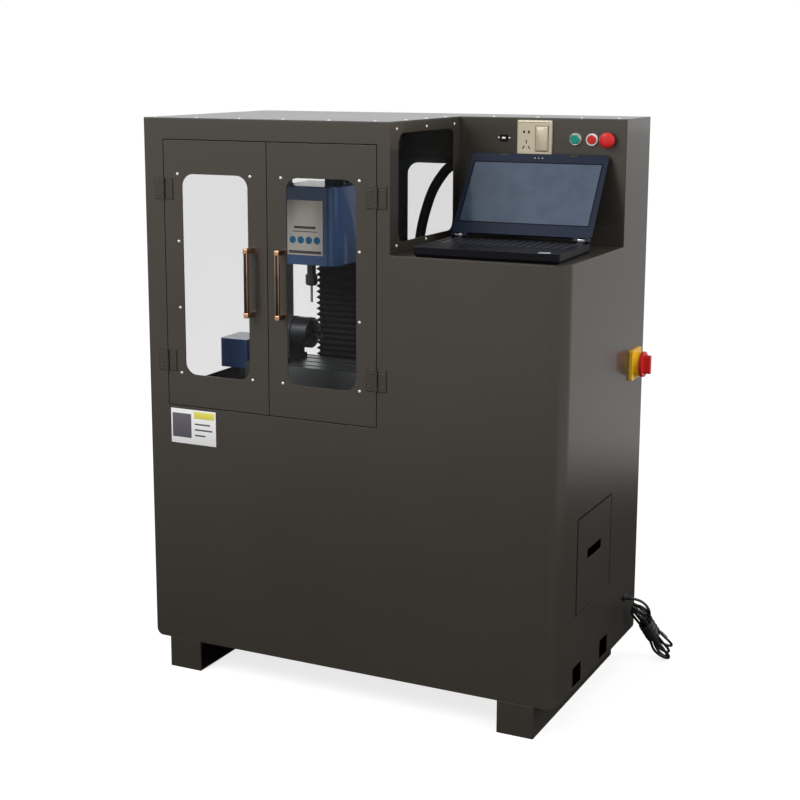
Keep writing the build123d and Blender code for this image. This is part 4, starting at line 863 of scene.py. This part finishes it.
def bellows_ring(inset):
    """The outline seen from above, from back right round the front to back left."""
    right = bellows_high.x - inset
    left = bellows_low.x + inset
    front = bellows_low.y + inset
    points = [(right, bellows_high.y), (right, front + CORNER_RADIUS)]
    for step in range(1, CORNER_STEPS):
        turn = math.pi / 2 * step / CORNER_STEPS
        x = right - CORNER_RADIUS + CORNER_RADIUS * math.cos(turn)
        points.append((x, front + CORNER_RADIUS - CORNER_RADIUS * math.sin(turn)))
    points.append((right - CORNER_RADIUS, front))
    return points + [(left + right - x, y) for x, y in reversed(points)]


bm = bmesh.new()
rings = []
count = FOLDS * STEPS_PER_FOLD
for level in range(count + 1):
    share = level / count
    wave = abs(math.cos(math.pi * FOLDS * share)) ** FOLD_SHARPNESS
    z = bellows_low.z + (bellows_high.z - bellows_low.z) * share
    rings.append([bm.verts.new((x, y, z)) for x, y in bellows_ring(FOLD_DEEP * wave)])
for lower, upper in zip(rings, rings[1:]):
    for index in range(len(lower)):
        after = (index + 1) % len(lower)
        bm.faces.new((lower[index], lower[after], upper[after], upper[index]))
bm.faces.new(rings[0])
bm.faces.new(rings[-1])
bellows = piece("soft_bellows", bm, BELLOWS_CLOTH, None, angle=50.0)
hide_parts("z_bellows")
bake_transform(bellows)
print("bellows folds", FOLDS, "rings", len(rings))

# %% [markdown]
# The laptop was drawn closed, turned a little on its shelf, and then opened. The same two steps as
# matrices let its small parts be placed in the flat closed laptop and still land where they belong:
# the rubber stops, the rim and the camera dots on the lid, and the hinge caps, the key tops, the
# pad's buttons and the stickers on the base.
# %% Laptop details
SHELF_TURN = math.radians(1.9)
LID_TURN = math.radians(-127.2)
LAPTOP_PLACE = Matrix.Translation(mm(312, -28, 1078)) @ Matrix.Rotation(SHELF_TURN, 4, "Z")
HINGE_LINE = Matrix.Translation(mm(0, -4.2, 26.4))
LID_PLACE = LAPTOP_PLACE @ HINGE_LINE @ Matrix.Rotation(LID_TURN, 4, "X") @ HINGE_LINE.inverted()
LID = ("laptop_lid", LID_PLACE)
BASE = ("cabinet", LAPTOP_PLACE)


def laptop_blocks(name, half, blocks, material, bevel=0.3):
    """Rounded blocks on the lid or the base, given in the closed laptop's millimetres."""
    body, place = half
    bm = bmesh.new()
    for low, high in blocks:
        add_block(bm, mm(*low), mm(*high), bevel * MM)
    bmesh.ops.transform(bm, matrix=place, verts=bm.verts)
    piece(name, bm, material, body)
    print(name, len(blocks))


stops = [((x - 11, -232.5, 22.1), (x + 11, -226, 22.9)) for x in (-86, 86)]
lid_corners = [(x, y) for x in (-162, 162) for y in (-226, -22)]
stops += [((x - 2.5, y - 2.5, 22.3), (x + 2.5, y + 2.5, 22.9)) for x, y in lid_corners]
laptop_blocks("lid_stops", LID, stops, RUBBER)
rim = [((-158.5, low, 22.45), (158.5, high, 22.9)) for low, high in ((-209.5, -207), (-42, -39.5))]
rim += [((x - 1.3, -209.5, 22.45), (x + 1.3, -39.5, 22.9)) for x in (-157.2, 157.2)]
laptop_blocks("screen_rim", LID, rim, KEYBOARD_BLACK, 0.15)
dots = [((x - 1.5, -222, 22.6), (x + 1.5, -220.4, 22.9)) for x in (-9, 0, 9)]
laptop_blocks("camera_dots", LID, dots, SCREW_WHITE, 0.1)
caps = [((x - 9, -8.8, 22.0), (x + 9, 0.3, 31.0)) for x in (-148, 148)]
laptop_blocks("hinge_caps", BASE, caps, BRIGHT_STEEL, 1.5)
KEY_PITCH = (20.2, 17.5)
KEY_ROWS, KEYS_IN_ROW = 6, 15
WELL_BACK = -22.0
keys = []
for row in range(KEY_ROWS):
    key_y = WELL_BACK - 1.5 - (row + 0.5) * KEY_PITCH[1]
    for place in range(KEYS_IN_ROW):
        key_x = (place - KEYS_IN_ROW // 2) * KEY_PITCH[0]
        keys.append(((key_x - 7.6, key_y - 6.2, 21.55), (key_x + 7.6, key_y + 6.4, 21.85)))
laptop_blocks("key_tops", BASE, keys, KEY_CAPS, 0.12)
pads = [((x, -223, 21.9), (x + 46, -217, 22.5)) for x in (-67, -19)]
laptop_blocks("pad_buttons", BASE, pads, KEYBOARD_BLACK)
# The grille's slits are dark slips of painted shade for the holes' insides.
slits = [((x, -17, 21.9), (x + 5, -13, 22.25)) for x in range(-80, 80, 8)]
laptop_blocks("grille", BASE, slits, HOLE_SHADE, 0.1)
paper = [((118, -222, 21.9), (142, -204, 22.15))]
laptop_blocks("palm_sticker", BASE, paper, PAPER_WHITE, 0.05)
blue = [((120, -220, 22.1), (140, -210, 22.25))]
laptop_blocks("palm_sticker_blue", BASE, blue, PAPER_BLUE, 0.04)

# %% [markdown]
# The socket on the control panel has a raised rim, a rocker with a thin painted shadow line round
# it, and dark pin holes, two above and three below, of which two lean. The holes are thin dark slips
# of painted shade set into the plate's face, which reads as depth and leaves the plate whole.
# %% Socket
PANEL_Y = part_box("control_panel")[0][1]
ROW_Z = 1324.0
SOCKET_X = 290.0
OUTLET_X, ROCKER_X = SOCKET_X - 19.5, SOCKET_X + 19.5
SOCKET_Y = PANEL_Y - 8 * MM
PINS = [(-6, 15, 4.6, 6.4, 0), (6, 15, 4.6, 6.4, 0), (0, -8, 2.6, 8.6, 0)]
PINS += [(-7, -21, 2.6, 8.6, 30), (7, -21, 2.6, 8.6, -30)]
# Pin holes: thin dark slips of painted shade.
bm = bmesh.new()
for x, up, wide, tall, lean in PINS:
    place = Matrix.Translation(((OUTLET_X + x) * MM, SOCKET_Y, (ROW_Z + up) * MM))
    place = place @ Matrix.Rotation(math.radians(lean), 4, "Y")
    size = Matrix.Diagonal((wide * MM, 0.16 * MM, tall * MM, 1))
    bmesh.ops.create_cube(bm, size=1.0, matrix=place @ size)
piece("pin_holes", bm, HOLE_SHADE, "cabinet")


def add_shadow_line(bm, x, z, half_wide, half_tall):
    """A thin bar of painted shadow in the socket's face, round a centre in millimetres."""
    add_block(
        bm,
        ((x - half_wide) * MM, SOCKET_Y - 0.1 * MM, (z - half_tall) * MM),
        ((x + half_wide) * MM, SOCKET_Y + 0.1 * MM, (z + half_tall) * MM),
    )


# A thin line of painted shadow round the rocker.
bm = bmesh.new()
for side in (-1, 1):
    add_shadow_line(bm, ROCKER_X + side * 16.2, ROW_Z, 0.6, 30.4)
    add_shadow_line(bm, ROCKER_X, ROW_Z + side * 30.0, 16.8, 0.6)
piece("rocker_shadow_line", bm, SHADOW_BRASS, "cabinet")

RIM_HALF, RIM_CORNER, RIM_WIDE, RIM_RISE, RIM_STEPS = 39.4, 3.0, 3.6, 0.9, 6
bm = bmesh.new()
rings = []
for quarter in range(4):
    centre_x = SOCKET_X + (RIM_HALF - RIM_CORNER) * (1 if quarter in (0, 3) else -1)
    centre_z = ROW_Z + (RIM_HALF - RIM_CORNER) * (1 if quarter in (0, 1) else -1)
    for step in range(RIM_STEPS + 1):
        turn = math.pi / 2 * (quarter + step / RIM_STEPS)
        out = Vector((math.cos(turn), 0, math.sin(turn)))
        place = Vector((centre_x, 0, centre_z)) + out * RIM_CORNER
        ring = []
        for lift in range(RIM_STEPS + 1):
            bend = math.pi * lift / RIM_STEPS
            point = place + out * (RIM_WIDE / 2 * math.cos(bend))
            point.y = -RIM_RISE * math.sin(bend)
            spot = (point.x * MM, SOCKET_Y + point.y * MM, point.z * MM)
            ring.append(bm.verts.new(spot))
        rings.append(ring)
for ring, after in zip(rings, rings[1:] + rings[:1]):
    for lift in range(RIM_STEPS):
        bm.faces.new((ring[lift], ring[lift + 1], after[lift + 1], after[lift]))
piece("socket_rim", bm, CHAMPAGNE, "cabinet", angle=60.0)
block_piece(
    "rocker_face",
    ((ROCKER_X - 13.4) * MM, SOCKET_Y - 2.4 * MM, (ROW_Z - 27.2) * MM),
    ((ROCKER_X + 13.4) * MM, SOCKET_Y - 1.2 * MM, (ROW_Z + 27.2) * MM),
    CHAMPAGNE,
    "socket_rocker",
    bevel=0.9 * MM,
)
print("pin holes", len(PINS))

# %% [markdown]
# The data port gets a white tongue and two screws. Two of the push buttons get a shiny ring, which
# is a half-round profile spun about the button's axis.
# %% Data port and button rings
PORT_X = 211.0
PORT_SCREW_RISE = 1.2 * MM
port_places = [((PORT_X + x) * MM, PANEL_Y, ROW_Z * MM) for x in (-13.5, 13.5)]
screws("port_screws", "cabinet", port_places, FORWARD, SMALL_RADIUS, PORT_SCREW_RISE)
block_piece(
    "port_tongue",
    ((PORT_X - 4.5) * MM, PANEL_Y - 2.9 * MM, (ROW_Z - 2.2) * MM),
    ((PORT_X + 4.5) * MM, PANEL_Y + 8 * MM, (ROW_Z + 2.2) * MM),
    PAPER_WHITE,
    "cabinet",
    bevel=0.2 * MM,
)
RING_INNER, RING_OUTER, RING_RISE = 11.2, 14.2, 1.6
RING_STEPS = 8
RING_TURN_STEPS = 40
BEZEL_RISE = 4.9 * MM


def button_ring(name, x, material):
    """A ring with a half-round section, standing on the bezel's front."""
    bm = bmesh.new()
    section = []
    for step in range(RING_STEPS + 1):
        turn = math.pi * step / RING_STEPS
        radius = (RING_OUTER + RING_INNER) / 2 - (RING_OUTER - RING_INNER) / 2 * math.cos(turn)
        section.append((radius * MM, -RING_RISE * MM * math.sin(turn), 0))
    spin_profile(bm, section, (0, 1, 0), RING_TURN_STEPS)
    place = (x * MM, PANEL_Y - BEZEL_RISE, ROW_Z * MM)
    bmesh.ops.translate(bm, vec=place, verts=bm.verts)
    piece(name, bm, material, "cabinet")
    print(name, "at", x, "mm")


button_ring("green_ring", 389.85, BRIGHT_STEEL)
button_ring("red_ring", 430.8, WHITE_PLASTIC)

# %% [markdown]
# The studio's white is not light on the object: rays from the camera, from a mirror or through
# glass see a white world and a pale floor that keeps the machine's shadow, while the light on the
# object stays plain. A mix of two shaders does this, and the kind of ray chooses between them.
# %% World and floor
WORLD_LIGHT = 0.62
FLOOR_GLOW = 1.42
FLOOR_SHARE = 0.55
FLOOR_HALF = 30.0
WHITE = (1, 1, 1, 1)


def seen_rays(tree):
    """One for rays from the camera, from a mirror and through glass, and none for bounced light."""
    rays = tree.nodes.new("ShaderNodeLightPath").outputs
    total = rays["Is Camera Ray"]
    for kind in ("Is Glossy Ray", "Is Transmission Ray"):
        total = math_node(tree, "ADD", total, rays[kind], clamp=True)
    return total


def shader_node(tree, kind, **values):
    """A shader with its sockets set, such as Color and Strength; gives its output."""
    node = tree.nodes.new(kind)
    for socket, value in values.items():
        node.inputs[socket].default_value = value
    return node.outputs[0]


def mix_shaders(tree, share, first, second):
    """A mix of two shaders by a socket or a plain number."""
    return feed(tree, tree.nodes.new("ShaderNodeMixShader"), share, first, second)


def studio_world():
    """A world that lights the object at one strength and is seen at another."""
    world = bpy.data.worlds.new("studio")
    bpy.context.scene.world = world
    world.use_nodes = True
    tree = world.node_tree
    lit = shader_node(tree, "ShaderNodeBackground", Color=WHITE, Strength=WORLD_LIGHT)
    seen = shader_node(tree, "ShaderNodeBackground", Color=WHITE, Strength=1.0)
    mixed = mix_shaders(tree, seen_rays(tree), lit, seen)
    tree.links.new(mixed, tree.nodes["World Output"].inputs["Surface"])
    tree.nodes.remove(tree.nodes["Background"])


def ground(name, height):
    """A square sheet level with the floor, with a bare material."""
    material = bpy.data.materials.new(name)
    material.use_nodes = True
    material.node_tree.nodes.clear()
    bm = bmesh.new()
    bmesh.ops.create_grid(bm, x_segments=1, y_segments=1, size=FLOOR_HALF)
    bmesh.ops.translate(bm, vec=(0, 0, height), verts=bm.verts)
    mesh = bpy.data.meshes.new(name)
    bm.to_mesh(mesh)
    bm.free()
    mesh.materials.append(material)
    made = bpy.data.objects.new(name, mesh)
    bpy.context.collection.objects.link(made)
    return made


def studio_floor():
    """A pale floor: part of its white is glow and the rest is lit, so it keeps a shadow."""
    tree = ground("studio_floor", 0.0).active_material.node_tree
    matt = shader_node(tree, "ShaderNodeBsdfDiffuse", Color=(0.85, 0.85, 0.85, 1))
    glow = shader_node(tree, "ShaderNodeEmission", Strength=FLOOR_GLOW)
    dull = shader_node(tree, "ShaderNodeBsdfDiffuse", Color=(0.25, 0.25, 0.25, 1))
    pale = mix_shaders(tree, FLOOR_SHARE, matt, glow)
    out = tree.nodes.new("ShaderNodeOutputMaterial")
    tree.links.new(mix_shaders(tree, seen_rays(tree), dull, pale), out.inputs["Surface"])


studio_world()
studio_floor()
print("world light", WORLD_LIGHT, "floor", 2 * FLOOR_HALF, "m")

# %% [markdown]
# Glossy paint mirrors its surroundings, and the lower a point lies on a panel, the nearer the floor
# that it mirrors. A photographer shades such paint with a dark cloth on the floor, just outside
# what the camera shows. Here the cloth lies all round the machine and the camera doesn't see it: it
# is dark near the machine and pale far off, so the panels shade from light at the top to dark at
# the bottom. Behind the machine and to its right it pales sooner, where the round corner mirrors a
# wall.
# %% Floor cloth
CLOTH_HEIGHT = 0.3 * MM
CLOTH_AHEAD = ((0.6, 7.0), (0.1, 0.85))
CLOTH_BEHIND = ((1.9, 2.9), (0.05, 0.75))
BEHIND_FROM = (-0.3, 0.8)


def smooth_range(tree, value, given, made):
    """A node that turns one range of values softly into another."""
    node = tree.nodes.new("ShaderNodeMapRange")
    node.interpolation_type = "SMOOTHSTEP"
    node.inputs["From Min"].default_value, node.inputs["From Max"].default_value = given
    node.inputs["To Min"].default_value, node.inputs["To Max"].default_value = made
    tree.links.new(value, node.inputs["Value"])
    return node.outputs["Result"]


def floor_cloth():
    """The cloth that shades the paint: dark near the machine, pale far off, only mirrored."""
    made = ground("floor_cloth", CLOTH_HEIGHT)
    tree = made.active_material.node_tree
    matt = tree.nodes.new("ShaderNodeBsdfDiffuse")
    out = tree.nodes.new("ShaderNodeOutputMaterial")
    where = tree.nodes.new("ShaderNodeTexCoord").outputs["Object"]
    away = vector_node(tree, "LENGTH", where).outputs["Value"]
    across = vector_node(tree, "DOT_PRODUCT", where, (1.0, 1.0, 0.0)).outputs["Value"]
    share = smooth_range(tree, across, BEHIND_FROM, (0.0, 1.0))
    ahead = smooth_range(tree, away, *CLOTH_AHEAD)
    behind = smooth_range(tree, away, *CLOTH_BEHIND)
    tone = feed(tree, tree.nodes.new("ShaderNodeMix"), share, None, ahead, behind)
    tree.links.new(tone, matt.inputs["Color"])
    tree.links.new(matt.outputs[0], out.inputs["Surface"])
    made.visible_camera = False
    made.visible_shadow = False
    made.visible_diffuse = False
    made.visible_transmission = False


floor_cloth()
print("cloth", CLOTH_HEIGHT / MM, "mm above the floor")

# %% [markdown]
# One broad lamp above the front left lights the front and the roof, and a weaker one at the right
# lifts the side. Both are large soft boxes, since a small lamp would give hard shadows.
# %% Lamps
LAMPS = [
    ("key_lamp", (-1.6, -3.2, 3.6), (0, 0, 0.9), 2.2, 110),
    ("side_lamp", (3.6, -0.6, 2.6), (0.4, 0, 0.9), 2.0, 60),
]
for name, place, aim, size, power in LAMPS:
    data = bpy.data.lights.new(name, "AREA")
    data.shape = "SQUARE"
    data.size = size
    data.energy = power
    made = bpy.data.objects.new(name, data)
    made.location = place
    made.rotation_euler = (Vector(aim) - Vector(place)).to_track_quat("-Z", "Y").to_euler()
    bpy.context.collection.objects.link(made)
    print(name, power, "W")
